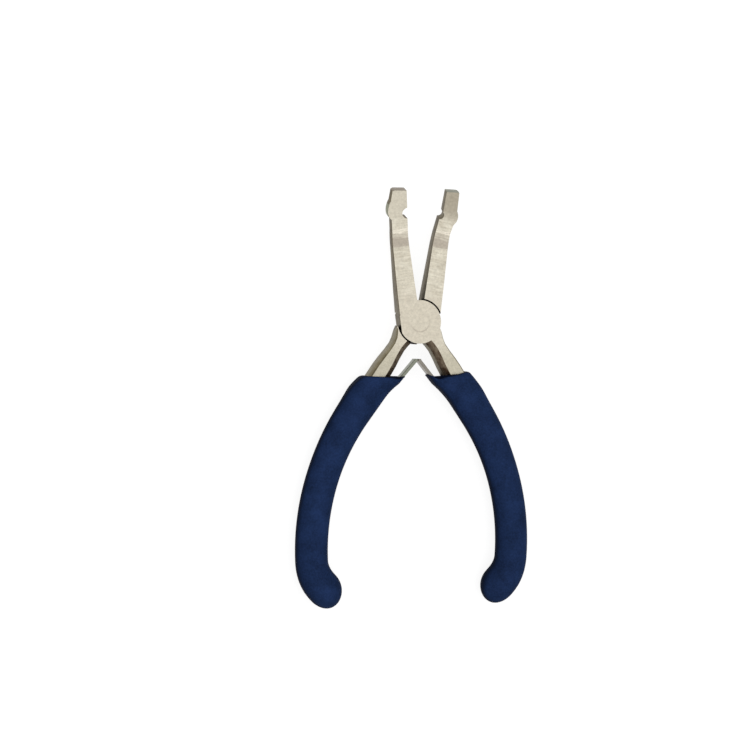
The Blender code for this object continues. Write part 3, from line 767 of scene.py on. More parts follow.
@dataclass
class Metalwork:
    """The levers and the pivot rivet: merged copies of their nodes, shaped by hand and dressed by zone."""

    opening: float = OPENING
    splay: float = SPLAY
    thickness: float = 6.0 * MM

    # The bent nose, the ear beside its notch and the end of the jaw
    bend_start: float = 22.8 * MM
    bend_end: float = 27.7 * MM
    bend_angle: float = 22.0 * DEG
    ear_start: float = 29.5 * MM
    ear_end: float = 35.8 * MM
    ear_peak: float = 33.5 * MM
    ear_foot: float = 35.9 * MM
    ear_inner: float = 4.0 * MM
    ear_draw: float = 0.9 * MM
    nose_end: float = 36.5 * MM

    # The half discs, the faces between them and the slit around them
    joint_radius: float = 6.45 * MM
    lap_radius: float = 7.0 * MM
    rim_radius: float = 6.0 * MM
    lap_floor: float = 1.0 * MM
    bare_rim: float = 5.2 * MM
    seat_end: float = -0.1 * MM
    slit_radius: float = 6.75 * MM
    slit_spare: float = 0.12 * MM
    slit_depth: float = 0.3 * MM

    # The lip and the shoulder of the left tang, and the root of both tangs
    lip_rise: float = 0.3 * MM
    lip_start: float = 236.0 * DEG
    lip_end: float = 269.0 * DEG
    shoulder_start: float = 197.5 * DEG
    shoulder_end: float = 199.3 * DEG
    shoulder_turn: float = 8.0 * DEG
    shoulder_size: float = 2.4 * MM
    root_drop: float = 3.4 * MM

    # The flat ground on the left of both half discs
    front_flank: float = 5.9 * MM
    rear_flank: float = 5.72 * MM
    flank_start: float = -3.0 * MM
    flank_end: float = -1.2 * MM

    # The rivet and its bore
    bore_radius: float = 3.4 * MM
    rivet_radius: float = 3.0 * MM
    rivet_swell: float = 0.06 * MM

    # Points closer than merge are one, and near says that a point is on a round; then the softened edges
    merge: float = 0.002 * MM
    near: float = 0.02 * MM
    edge_width: float = 0.09 * MM
    edge_angle: float = 30.0 * DEG

    # How far a face has to face one way, as a cosine, for a zone
    flat: float = 0.5
    lap_flat: float = 0.9
    rim_round: float = 0.97
    rim_flat: float = 0.95
    left_tang_flat: float = 0.98
    right_tang_flat: float = 0.93
    left_tang_bevel: float = 0.9
    tang_bevel: float = 0.4
    nose_side: float = 0.7

    def closed(self, side: Side) -> Matrix:
        """Turn from rest to the closed tool, for the lever with this side's handle."""
        return Matrix.Rotation(-side.value * self.opening / 2.0, 3, "Z")

    @staticmethod
    def turn_of(place: Vector) -> float:
        """Angle of a place about the pivot axis, from +X and up to a full turn."""
        return math.atan2(place.y, place.x) % FULL_TURN

    def between_laps(self, place: Vector) -> bool:
        """Whether a place lies between the two outer faces of the joint."""
        return self.lap_floor < place.z < self.thickness - self.lap_floor

    def joint_zone(self, middle: Vector, normal: Vector, side: Side) -> Zone | None:
        """Zone of a face in the joint.

        Args:
            middle: Middle of the face in the closed tool.
            normal: The face's normal in the closed tool.
            side: The side of the lever's handle.

        Returns:
            The zone, or none where the face is like those outside the joint.
        """
        left = side is Side.LEFT
        bare = (middle.y > self.flank_end and middle.x < -self.bare_rim if left
                else middle.y > self.seat_end and middle.x < 0.0)
        # Painted shade: faces in the lap take a near black tone for the shade in the slit
        if abs(normal.z) > self.flat and self.between_laps(middle):
            return Zone.JAW_SIDE if bare and left else Zone.LAP
        radial = abs(normal.xy.normalized().dot(middle.xy.normalized())) > self.rim_round
        rim = middle.xy.length > self.rim_radius and abs(normal.z) < self.rim_flat
        return Zone.LAP if radial and rim and not bare else None

    def tang_zone(self, normal: Vector, side: Side) -> Zone:
        """Zone of a face of a tang.

        Args:
            normal: The face's normal in the closed tool.
            side: The side of the tang.

        Returns:
            The zone.
        """
        # Painted shade: the tang's edges, bevels and inner sides take lighter or darker tones by which way
        # they face
        left = side is Side.LEFT
        outward = Vector((side.value * math.cos(self.splay), math.sin(self.splay)))
        if abs(normal.z) > (self.left_tang_flat if left else self.right_tang_flat):
            return Zone.GROUND
        if normal.xy.dot(outward) > 0.0:
            return Zone.TANG_INNER if left and normal.z > self.left_tang_bevel else Zone.TANG_EDGE
        return Zone.TANG_BEVEL if abs(normal.z) > self.tang_bevel else Zone.TANG_INNER

    def zone_of(self, middle: Vector, normal: Vector, side: Side) -> Zone:
        """Zone that a face of a lever belongs to.

        Args:
            middle: Middle of the face at rest.
            normal: The face's normal at rest.
            side: The side of the lever's handle.

        Returns:
            The zone.
        """
        middle = self.closed(side) @ middle
        normal = self.closed(side) @ normal
        if middle.xy.length < self.lap_radius:
            zone = self.joint_zone(middle, normal, side)
            if zone is not None:
                return zone
        if middle.y < -self.root_drop and middle.xy.length > self.joint_radius:
            return self.tang_zone(normal, side)
        share = (middle.y - self.bend_start) / (self.bend_end - self.bend_start)
        bend = self.bend_angle * min(max(share, 0.0), 1.0)
        if abs(normal.z * math.cos(bend) - normal.y * math.sin(bend)) > self.flat:
            return Zone.GROUND
        if middle.y > self.nose_end and abs(normal.x) < self.nose_side:
            return Zone.NOSE_END
        if self.ear_start < middle.y < self.ear_end and normal.x * side.value < 0.0:
            return Zone.EAR_SIDE
        return Zone.JAW_SIDE

    def grind_flank(self, piece: Object, flank: float) -> None:
        """Grind a half disc flush with the left jaw's outer side, in the resting tool.

        Args:
            piece: The lever that carries the half disc.
            flank: Distance of the flat from the pivot axis.
        """
        jaw = self.closed(Side.RIGHT)
        Bench.pick(piece, lambda place: (place.x < -flank and self.flank_start < place.y
                                         and place.xy.length < self.joint_radius), jaw)
        Bench.resize((0.0, 1.0, 1.0), (-flank, 0.0, 0.0), jaw)

    def open_slit(self, piece: Object, side: Side) -> None:
        """Wear the rim beside the other lever's half disc back a little, so that the slit shows."""
        middle = self.thickness / 2.0
        Bench.pick(piece, lambda place: (abs(place.xy.length - self.slit_radius) < self.near
                                         and (place.z - middle) * -side.value > -self.slit_depth))
        Bench.push_out(self.slit_radius, self.slit_spare)

    def press_lip(self, piece: Object) -> None:
        """Press out the forged lip where the rear lever's half disc runs into its tang."""
        Bench.pick(piece, lambda place: (self.lip_start < self.turn_of(place) < self.lip_end
                                         and place.z < self.thickness / 2.0
                                         and self.rim_radius < place.xy.length < self.joint_radius))
        Bench.push_out(self.joint_radius, self.lip_rise)

    def raise_shoulder(self, piece: Object) -> None:
        """Draw the shoulder of the rear lever's tang up along the front half disc.

        The rear half disc is hidden meanwhile, so that the soft edge of the pull leaves it alone.

        Args:
            piece: The rear lever.
        """
        Bench.pick(piece, lambda place: place.xy.length < self.joint_radius)
        bpy.ops.mesh.hide(unselected=False)
        Bench.pick(piece, lambda place: (self.joint_radius < place.xy.length < self.lap_radius
                                         and self.shoulder_start < self.turn_of(place) < self.shoulder_end))
        bpy.ops.transform.rotate(value=self.shoulder_turn, orient_axis="Z", center_override=(0.0, 0.0, 0.0),
                                 use_proportional_edit=True, proportional_edit_falloff="SMOOTH",
                                 proportional_size=self.shoulder_size)
        bpy.ops.mesh.reveal(select=False)
        bpy.ops.object.mode_set(mode="OBJECT")

    def draw_ear(self, piece: Object) -> None:
        """Draw the left jaw's ear out along the nose, where its ground shoulder runs out softly.

        Args:
            piece: The front lever, which has the left jaw.
        """
        nose = Matrix.Rotation(-self.bend_angle, 3, "X") @ self.closed(Side.RIGHT)
        Bench.pick(piece, lambda place: (place.x < -self.ear_inner
                                         and self.ear_peak < place.y < self.ear_foot), nose)
        swell = 1.0 + self.ear_draw / (self.ear_foot - self.ear_peak)
        Bench.resize((1.0, swell, 1.0), (0.0, self.ear_peak, 0.0), nose)

    def part_bare_rim(self, piece: Object) -> None:
        """Part the rear half disc's lap face where it comes out of the closed joint, for its own finish.

        Args:
            piece: The rear lever.
        """
        Bench.take(piece)
        bpy.ops.object.mode_set(mode="EDIT")
        faces = bmesh.from_edit_mesh(piece.data)
        for face in faces.faces:
            middle = face.calc_center_median()
            face.select = (abs(face.normal.z) > self.lap_flat and middle.xy.length < self.lap_radius
                           and self.between_laps(middle))
        bmesh.update_edit_mesh(piece.data)
        back = self.closed(Side.LEFT).transposed()
        bpy.ops.mesh.bisect(plane_co=back @ Vector((-self.bare_rim, 0.0, 0.0)),
                            plane_no=back @ Vector((1.0, 0.0, 0.0)))
        bpy.ops.object.mode_set(mode="OBJECT")

    def soften(self, piece: Object) -> None:
        """Round the sharp edges of a lever, but not the flush rims at the pivot.

        Args:
            piece: The lever.
        """
        edges = bmesh.new()
        edges.from_mesh(piece.data)
        weight = edges.edges.layers.float.new("bevel_weight_edge")
        for edge in edges.edges:
            middle = (edge.verts[0].co + edge.verts[1].co) / 2.0
            sharp = len(edge.link_faces) == 2 and edge.calc_face_angle() > self.edge_angle
            edge[weight] = 1.0 if sharp and middle.xy.length > self.bore_radius else 0.0
        edges.to_mesh(piece.data)
        edges.free()
        modifier = piece.modifiers.new("edge", "BEVEL")
        modifier.width = self.edge_width
        modifier.segments = 2
        modifier.limit_method = "WEIGHT"
        Bench.finish_modifier(piece, modifier.name)

    def lever(self, node: Object, name: str, side: Side,
              finishes: dict[Zone, Material]) -> Object:
        """Shape and dress one lever.

        Args:
            node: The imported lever.
            name: Name of the new piece.
            side: The side of its handle.
            finishes: The finish of each zone.

        Returns:
            The finished lever.
        """
        piece = Bench.copy_of(node, name, self.merge)
        self.grind_flank(piece, self.front_flank if side is Side.RIGHT else self.rear_flank)
        self.open_slit(piece, side)
        if side is Side.LEFT:
            self.press_lip(piece)
            self.raise_shoulder(piece)
        else:
            self.draw_ear(piece)
        self.soften(piece)
        if side is Side.LEFT:
            self.part_bare_rim(piece)
        for zone in Zone:
            piece.data.materials.append(finishes[zone])
        for face in piece.data.polygons:
            face.material_index = self.zone_of(face.center, face.normal, side).value
        Bench.shade(piece, self.edge_angle)
        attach(piece, side.body)
        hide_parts(node.name)
        return piece

    def rivet(self, node: Object, ground: Material) -> Object:
        """Shape and dress the pivot rivet, whose flared ends are hammered out until they fill their bores.

        Args:
            node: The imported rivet.
            ground: The finish of the levers' ground faces, which the rivet was ground flush with.

        Returns:
            The finished rivet.
        """
        piece = Bench.copy_of(node, "rivet_flush", self.merge)
        Bench.pick(piece, lambda place: place.xy.length > self.rivet_radius - self.near)
        Bench.push_out(self.rivet_radius, self.rivet_swell)
        piece.data.materials.append(ground)
        Bench.shade(piece, self.edge_angle)
        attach(piece, "front_half")
        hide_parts(node.name)
        return piece


@dataclass
class HandleLine:
    """Centre line of one handle: straight from the neck, then a long bow, then the hook."""

    side: Side
    opening: float = OPENING
    mid_height: float = 3.0 * MM
    neck_offset: float = 4.85 * MM
    neck_drop: float = 8.3 * MM
    splay: float = SPLAY
    straight: float = 24.0 * MM
    bow_radius: float = 70.5 * MM
    bow_turn: float = 36.4 * DEG
    hook_radius: float = 12.0 * MM
    hook_turn: float = 38.0 * DEG

    @property
    def bow_length(self) -> float:
        """Length of the bow along the line."""
        return self.bow_radius * self.bow_turn

    @property
    def hook_length(self) -> float:
        """Length of the hook along the line."""
        return self.hook_radius * self.hook_turn

    @staticmethod
    def along(heading: float) -> Vector:
        """Direction along the handle; a heading of zero points away from the jaws."""
        return Vector((math.sin(heading), -math.cos(heading)))

    @staticmethod
    def outward(heading: float) -> Vector:
        """Direction square to the handle, away from the other handle."""
        return Vector((math.cos(heading), math.sin(heading)))

    def closed_point(self, reach: float, slip: float = 0.0) -> tuple[Vector, float]:
        """Point and heading a distance along the line, with the tool closed.

        Args:
            reach: Distance from the neck.
            slip: How much further along the bow the hook starts.

        Returns:
            The point in the XY plane and the heading.
        """
        point = Vector((self.neck_offset, -self.neck_drop))
        heading = self.splay
        point += self.along(heading) * min(reach, self.straight)
        rest = max(reach - self.straight, 0.0)
        for radius, length in ((self.bow_radius, self.bow_length + slip),
                               (self.hook_radius, self.hook_length)):
            centre = point - self.outward(heading) * radius
            run = min(rest, length)
            heading -= run / radius
            point = centre + self.outward(heading) * radius
            rest -= run
        return point + self.along(heading) * rest, heading

    def resting(self, point: Vector) -> Vector:
        """Bring a point of the closed tool's right handle to this side and to the resting opening.

        Args:
            point: The point in the XY plane.

        Returns:
            The point at rest, at half the tool's thickness.
        """
        turn = self.side.value * self.opening / 2.0
        flat = Matrix.Rotation(turn, 2) @ Vector((self.side.value * point.x, point.y))
        return Vector((flat.x, flat.y, self.mid_height))

    def across_turn(self, heading: float) -> float:
        """Turn about Z of a section that lies square to the line at this heading."""
        return self.side.value * (heading + self.opening / 2.0)


def smooth(share: float) -> float:
    """Ease from 0 to 1 with level ends."""
    held = min(max(share, 0.0), 1.0)
    return held * held * (3.0 - 2.0 * held)


def eased(place: float, table: tuple[tuple[float, float], ...]) -> float:
    """Value at a place on eased runs between the rows of a table.

    Args:
        place: The place.
        table: Rows of a place and its value, in the order of the places.

    Returns:
        The value.
    """
    if place <= table[0][0]:
        return table[0][1]
    for (start, first), (end, last) in zip(table, table[1:]):
        if place <= end:
            return first + (last - first) * smooth((place - start) / (end - start))
    return table[-1][1]


@dataclass
class Tang:
    """The steel core inside the grip, for the bore that it needs."""

    line: HandleLine

    # Widths and thicknesses at the neck, where it is full, where the taper starts and at the end
    neck_width: float = 4.4 * MM
    width: float = TANG_WIDTH
    thickness: float = 5.9 * MM
    root_thickness: float = 6.0 * MM
    full_reach: float = 8.0 * MM
    taper_reach: float = 27.0 * MM
    end_width: float = 4.0 * MM
    end_thickness: float = 4.4 * MM
    length: float = 64.0 * MM

    # How finely the bore is modelled
    corner_share: float = 0.3
    corner_steps: int = 3
    steps: int = 40

    def bore(self, gap: float) -> Object:
        """Solid that clears the tang by a gap all round.

        Args:
            gap: Clearance on each side.

        Returns:
            The cutter.
        """
        widths = ((0.0, self.neck_width), (self.full_reach, self.width),
                  (self.taper_reach, self.width), (self.length, self.end_width))
        thicknesses = ((0.0, self.root_thickness), (self.full_reach, self.thickness),
                       (self.taper_reach, self.thickness), (self.length, self.end_thickness))
        sections = []
        last = self.length + gap
        for step in range(self.steps + 1):
            reach = last * step / self.steps
            point, heading = self.line.closed_point(reach)
            sections.append(Ring(self.line.resting(point), self.line.across_turn(heading),
                                 eased(reach, widths) / 2.0 + gap, eased(reach, thicknesses) / 2.0 + gap,
                                 self.corner_share))
        return Bench.sweep("bore", sections, self.corner_steps)


@dataclass
class LeafSpring:
    """One leaf of the opening spring, from its foot on the tang to its tip under the joint."""

    line: HandleLine

    # The strip, a little thicker over its free leg
    thickness: float = 0.8 * MM
    width: float = 3.3 * MM
    swell: float = 0.16 * MM
    swell_fade: float = 1.5
    corner_share: float = 0.18

    # The tip under the joint, beside the tip of the other leaf
    top_drop: float = 10.95 * MM
    tip_length: float = 0.4 * MM
    tip_gap: float = 0.1 * MM
    tip_share: float = 0.9

    # Where it enters the grip, and the foot that lies along the tang
    mouth_reach: float = 6.0 * MM
    mouth_offset: float = 6.1 * MM
    foot_reach: float = 13.5 * MM
    foot_length: float = 9.0 * MM
    tang_width: float = TANG_WIDTH
    seat_gap: float = 0.1 * MM

    # The channel that it needs in the grip
    channel_gap: float = 0.2 * MM
    channel_corner: float = 0.1

    # How finely it is modelled
    corner_steps: int = 2
    curve_steps: int = 18
    smooth_angle: float = 30.0 * DEG

    @property
    def foot_offset(self) -> float:
        """Distance of the foot's middle from the handle line."""
        return self.tang_width / 2.0 + self.seat_gap + self.thickness / 2.0

    def closed_tip(self, down: float = 0.0) -> Vector:
        """The free end, or a place further down the tip, in the closed tool."""
        resting = Vector(((self.tip_gap + self.thickness + self.swell) / 2.0, -self.top_drop - down))
        return Matrix.Rotation(-self.line.opening / 2.0, 2) @ resting

    def closed_bend(self) -> Vector:
        """Where the leg turns parallel to the tool's axis, in the closed tool."""
        return self.closed_tip(self.tip_length)

    def offset(self, reach: float) -> float:
        """Distance of the leaf's middle from the handle line, on the inner side.

        Args:
            reach: Distance along the handle line.

        Returns:
            The distance: straight up to the mouth, then an eased run down to the foot.
        """
        bend = self.closed_bend() - Vector((self.line.neck_offset, -self.line.neck_drop))
        bend_reach = bend.dot(self.line.along(self.line.splay))
        bend_offset = -bend.dot(self.line.outward(self.line.splay))
        slope = (bend_offset - self.mouth_offset) / (self.mouth_reach - bend_reach)
        if reach <= self.mouth_reach:
            return self.mouth_offset + slope * (self.mouth_reach - reach)
        if reach >= self.foot_reach:
            return self.foot_offset
        span = self.foot_reach - self.mouth_reach
        share = (reach - self.mouth_reach) / span
        fall = smooth(share)
        return (self.mouth_offset * (1.0 - fall) + self.foot_offset * fall
                - slope * span * share * (1.0 - share) ** 2)

    def reaches(self) -> list[float]:
        """Distances along the handle line at which the leaf bends."""
        span = self.foot_reach - self.mouth_reach
        return ([self.mouth_reach + span * step / self.curve_steps for step in range(self.curve_steps + 1)]
                + [self.foot_reach + self.foot_length])

    def body(self, reach: float) -> float:
        """Thickness of the strip: the leg stands a little proud of the foot."""
        run = (reach - self.mouth_reach) / (self.foot_reach - self.mouth_reach)
        return self.thickness + self.swell * (1.0 - smooth(run * self.swell_fade))

    def middle(self) -> list[Vector]:
        """Lay out the leaf's middle line.

        Returns:
            Its points in the closed tool, from the tip to the foot's end.
        """
        points = [self.closed_tip(), self.closed_bend()]
        for reach in self.reaches():
            point, heading = self.line.closed_point(reach)
            points.append(point - self.line.outward(heading) * self.offset(reach))
        return points

    def build(self, node: Object, finishes: list[Material]) -> Object:
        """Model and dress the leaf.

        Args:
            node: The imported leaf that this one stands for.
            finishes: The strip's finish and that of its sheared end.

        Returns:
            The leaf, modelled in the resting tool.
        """
        points = [self.line.resting(point) for point in self.middle()]
        bodies = [self.body(reach) for reach in [0.0, 0.0] + self.reaches()]
        sections = []
        for index, point in enumerate(points):
            before = (point - points[index - 1]).normalized() if index else None
            after = (points[index + 1] - point).normalized() if index + 1 < len(points) else None
            along = ((before or after) + (after or before)).normalized()
            lean = along.dot(after or before)
            turn = math.atan2(along.x, -along.y)
            sections.append(Ring(point, turn, bodies[index] / 2.0 / lean, self.width / 2.0,
                                 self.corner_share))
        piece = Bench.sweep(f"leaf_strip_{self.line.side.word}", sections, self.corner_steps)
        for material in finishes:
            piece.data.materials.append(material)
        for face in piece.data.polygons:
            face.material_index = 1 if face.normal.y > self.tip_share else 0
        Bench.shade(piece, self.smooth_angle)
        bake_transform(piece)
        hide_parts(node.name)
        return piece

    def channel(self) -> Object:
        """Model the room that the leaf has inside the grip.

        Returns:
            The cutter.
        """
        sections = []
        for reach in [0.0] + self.reaches()[:-1] + [self.foot_reach + self.foot_length + self.channel_gap]:
            clear = self.body(reach) / 2.0 + self.channel_gap
            point, heading = self.line.closed_point(reach)
            half = (self.offset(reach) + clear) / 2.0
            sections.append(Ring(self.line.resting(point - self.line.outward(heading) * half),
                                 self.line.across_turn(heading), half,
                                 self.width / 2.0 + self.channel_gap, self.channel_corner))
        return Bench.sweep("channel", sections, self.corner_steps)


@dataclass
class GripSleeve:
    """One grip: a sleeve with an oblique flared mouth, a waist and a hooked knob."""

    line: HandleLine

    # The sleeve, from its mouth over its waist to where the knob starts
    mouth_reach: float = 10.1 * MM
    width: float = 10.5 * MM
    thickness: float = 9.6 * MM
    waist_reach: float = 45.0 * MM
    waist_width: float = 9.65 * MM
    waist_thickness: float = 9.0 * MM
    slip: float = 0.5 * MM

    # The mouth, cut level across the tool and flared on the inner side
    flare: float = 2.2 * MM
    left_flare_length: float = 6.0 * MM
    right_flare_length: float = 8.5 * MM
    left_tilt: float = 3.0 * DEG
    right_tilt: float = 10.0 * DEG
    draw_in: float = 1.05 * MM
    rim_round: float = 0.7 * MM
    skew_length: float = 16.0 * MM
    mouth_corner: float = 0.7
    corner_gain: float = 0.28

    # The rim as the vinyl set: its raised tips and outer corner, and the dent where the leaf enters
    right_tip_rise: float = 1.5 * MM
    right_tip_pull: float = 0.2 * MM
    left_tip_rise: float = 0.8 * MM
    left_tip_pull: float = 0.5 * MM
    tip_reach: float = 0.55 * MM
    tip_size: float = 1.2 * MM
    corner_rise: float = 0.45 * MM
    corner_reach: float = 1.4 * MM
    corner_size: float = 2.8 * MM
    dimple_from_tip: float = 2.1 * MM
    dimple_depth: float = 0.4 * MM
    dimple_size: float = 1.5 * MM

    # The hooked knob and its rounded end
    knob_width: float = 10.4 * MM
    knob_thickness: float = 10.2 * MM
    knob_straight: float = 1.0 * MM
    knob_cap: float = 6.3 * MM
    cap_lean: float = 0.5 * MM
    cap_turn: float = 0.97 * 90.0 * DEG

    # The room inside for the tang and the spring rivet
    seat_gap: float = 0.2 * MM
    pin_reach: float = 18.5 * MM
    pocket_radius: float = 1.65 * MM
    pocket_depth: float = 5.0 * MM

    # How finely it is modelled
    corner_steps: int = 12
    side_cuts: int = 4
    rim_steps: int = 4
    skew_steps: int = 14
    bow_steps: int = 22
    hook_steps: int = 12
    cap_steps: int = 12
    pocket_sides: int = 32
    smooth_angle: float = 35.0 * DEG

    @property
    def flare_length(self) -> float:
        """Length over which the flare of this side's mouth runs out."""
        return self.right_flare_length if self.line.side is Side.RIGHT else self.left_flare_length

    @property
    def tilt(self) -> float:
        """How far the inner side of this side's mouth drops from level."""
        return self.right_tilt if self.line.side is Side.RIGHT else self.left_tilt

    @property
    def bow_end(self) -> float:
        """Distance along the handle line at which the bow ends."""
        return self.line.straight + self.line.bow_length

    @property
    def knob_reach(self) -> float:
        """Distance along the handle line at which the rounded end starts."""
        return self.bow_end + self.line.hook_length + self.knob_straight

    def section(self, station: float, inset: float) -> Ring:
        """One section of the outer skin.

        Args:
            station: Distance along the handle line.
            inset: How far the skin draws in at the rounded rim.

        Returns:
            The section at rest.
        """
        widths = ((self.mouth_reach, self.width), (self.waist_reach, self.waist_width),
                  (self.bow_end, self.waist_width), (self.knob_reach, self.knob_width))
        thicknesses = ((self.mouth_reach, self.thickness), (self.waist_reach, self.waist_thickness),
                       (self.bow_end, self.waist_thickness), (self.knob_reach, self.knob_thickness))
        half_width = eased(station, widths) / 2.0
        half_height = eased(station, thicknesses) / 2.0
        from_mouth = station - self.mouth_reach
        near_mouth = max(1.0 - from_mouth / self.flare_length, 0.0) ** 2
        eased_mouth = smooth(from_mouth / self.skew_length)
        level = self.line.splay + self.line.opening / 2.0 - self.tilt
        skew = math.atan(math.tan(level) * (1.0 - eased_mouth))
        into_cap = max(station - self.knob_reach, 0.0) / self.knob_cap
        scale = math.sqrt(max(1.0 - into_cap ** 2, 0.0))
        inner = (half_width - inset + near_mouth * self.flare) * scale
        outer = (half_width - inset - near_mouth * self.draw_in) * scale
        slip = -self.line.side.value * self.slip
        point, heading = self.line.closed_point(station + slip, slip)
        tilted = heading - skew
        across = self.line.outward(tilted)
        centre = point + across * ((outer - inner) / 2.0 / math.cos(skew) + self.cap_lean * into_cap ** 2)
        return Ring(self.line.resting(centre), self.line.across_turn(tilted),
                    (inner + outer) / 2.0 / math.cos(skew), (half_height - inset) * scale,
                    self.mouth_corner + self.corner_gain * eased_mouth)

    def stations(self) -> list[tuple[float, float]]:
        """Lay out the sections from the rounded rim of the mouth to the end of the knob.

        Returns:
            Distances along the handle line, each with how far the skin draws in there.
        """
        rows = []
        for step in range(self.rim_steps + 1):
            turn = math.pi / 2.0 * step / self.rim_steps
            rows.append((self.mouth_reach + self.rim_round * (1.0 - math.cos(turn)),
                         self.rim_round * (1.0 - math.sin(turn))))
        start = self.mouth_reach + self.rim_round
        skewed = self.mouth_reach + self.skew_length
        for first, last, steps in ((start, skewed, self.skew_steps), (skewed, self.bow_end, self.bow_steps),
                                   (self.bow_end, self.knob_reach, self.hook_steps)):
            rows += [(first + (last - first) * step / steps, 0.0) for step in range(1, steps + 1)]
        rows += [(self.knob_reach + self.knob_cap * math.sin(self.cap_turn * step / self.cap_steps), 0.0)
                 for step in range(1, self.cap_steps + 1)]
        return rows

    def build(self, node: Object, leaf: LeafSpring,
              finish: Material) -> Object:
        """Model and dress the sleeve.

        Args:
            node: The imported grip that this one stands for.
            leaf: The leaf spring that enters the sleeve.
            finish: The sleeve's finish.

        Returns:
            The finished sleeve.
        """
        sections = [self.section(station, inset) for station, inset in self.stations()]
        piece = Bench.sweep(f"sleeve_{self.line.side.word}", sections, self.corner_steps, self.side_cuts)
        self.shape_mouth(piece)
        Bench.cut(piece, leaf.channel())
        Bench.cut(piece, self.pocket())
        Bench.cut(piece, Tang(self.line).bore(self.seat_gap))
        piece.data.materials.clear()
        piece.data.materials.append(finish)
        Bench.shade(piece, self.smooth_angle)
        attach(piece, self.line.side.body)
        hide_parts(node.name)
        return piece

    @staticmethod
    def drag(piece: Object, place: Vector, reach: float, shift: Vector, size: float) -> None:
        """Drag the skin beside a place, and what lies around it more and more softly.

        Args:
            piece: The sleeve.
            place: The place; points above and below it are dragged too.
            reach: Distance from the place within which points are dragged whole.
            shift: How far they are dragged.
            size: Distance over which the drag fades.
        """
        Bench.pick(piece, lambda point: (point - place).xy.length < reach)
        bpy.ops.transform.translate(value=tuple(shift), use_proportional_edit=True,
                                    proportional_edit_falloff="SMOOTH", proportional_size=size)
        bpy.ops.object.mode_set(mode="OBJECT")

    def shape_mouth(self, piece: Object) -> None:
        """Dent the rim where the leaf enters and pull the inner tip up, as the vinyl set there.

        Args:
            piece: The sleeve.
        """
        rim = self.section(self.mouth_reach + self.rim_round, 0.0)
        across = Matrix.Rotation(rim.turn, 3, "Z") @ Vector((1.0, 0.0, 0.0)) * self.line.side.value
        tip = rim.centre - across * rim.half_across
        _, heading = self.line.closed_point(self.mouth_reach)
        up = self.line.resting(-self.line.along(heading)) - self.line.resting(Vector((0.0, 0.0)))
        entry = tip + across * self.dimple_from_tip
        self.drag(piece, entry, self.tip_reach, up * -self.dimple_depth, self.dimple_size)
        right = self.line.side is Side.RIGHT
        rise = self.right_tip_rise if right else self.left_tip_rise
        pull = self.right_tip_pull if right else self.left_tip_pull
        self.drag(piece, tip, self.tip_reach, up * rise + across * pull, self.tip_size)
        if right:
            corner = rim.centre + across * (rim.half_across - self.rim_round)
            self.drag(piece, corner, self.corner_reach, up * self.corner_rise, self.corner_size)

    def pocket(self) -> Object:
        """Model the room that the spring rivet's head has inside the grip.

        Returns:
            The cutter.
        """
        foot, heading = self.line.closed_point(self.pin_reach)
        middle = self.line.resting(foot - self.line.outward(heading) * self.pocket_depth / 2.0)
        Bench.clear_selection()
        bpy.ops.mesh.primitive_cylinder_add(vertices=self.pocket_sides, radius=self.pocket_radius,
                                            depth=self.pocket_depth, location=middle,
                                            rotation=(0.0, math.pi / 2.0, self.line.across_turn(heading)))
        piece = bpy.context.object
        Bench.set_in_place(piece)
        return piece


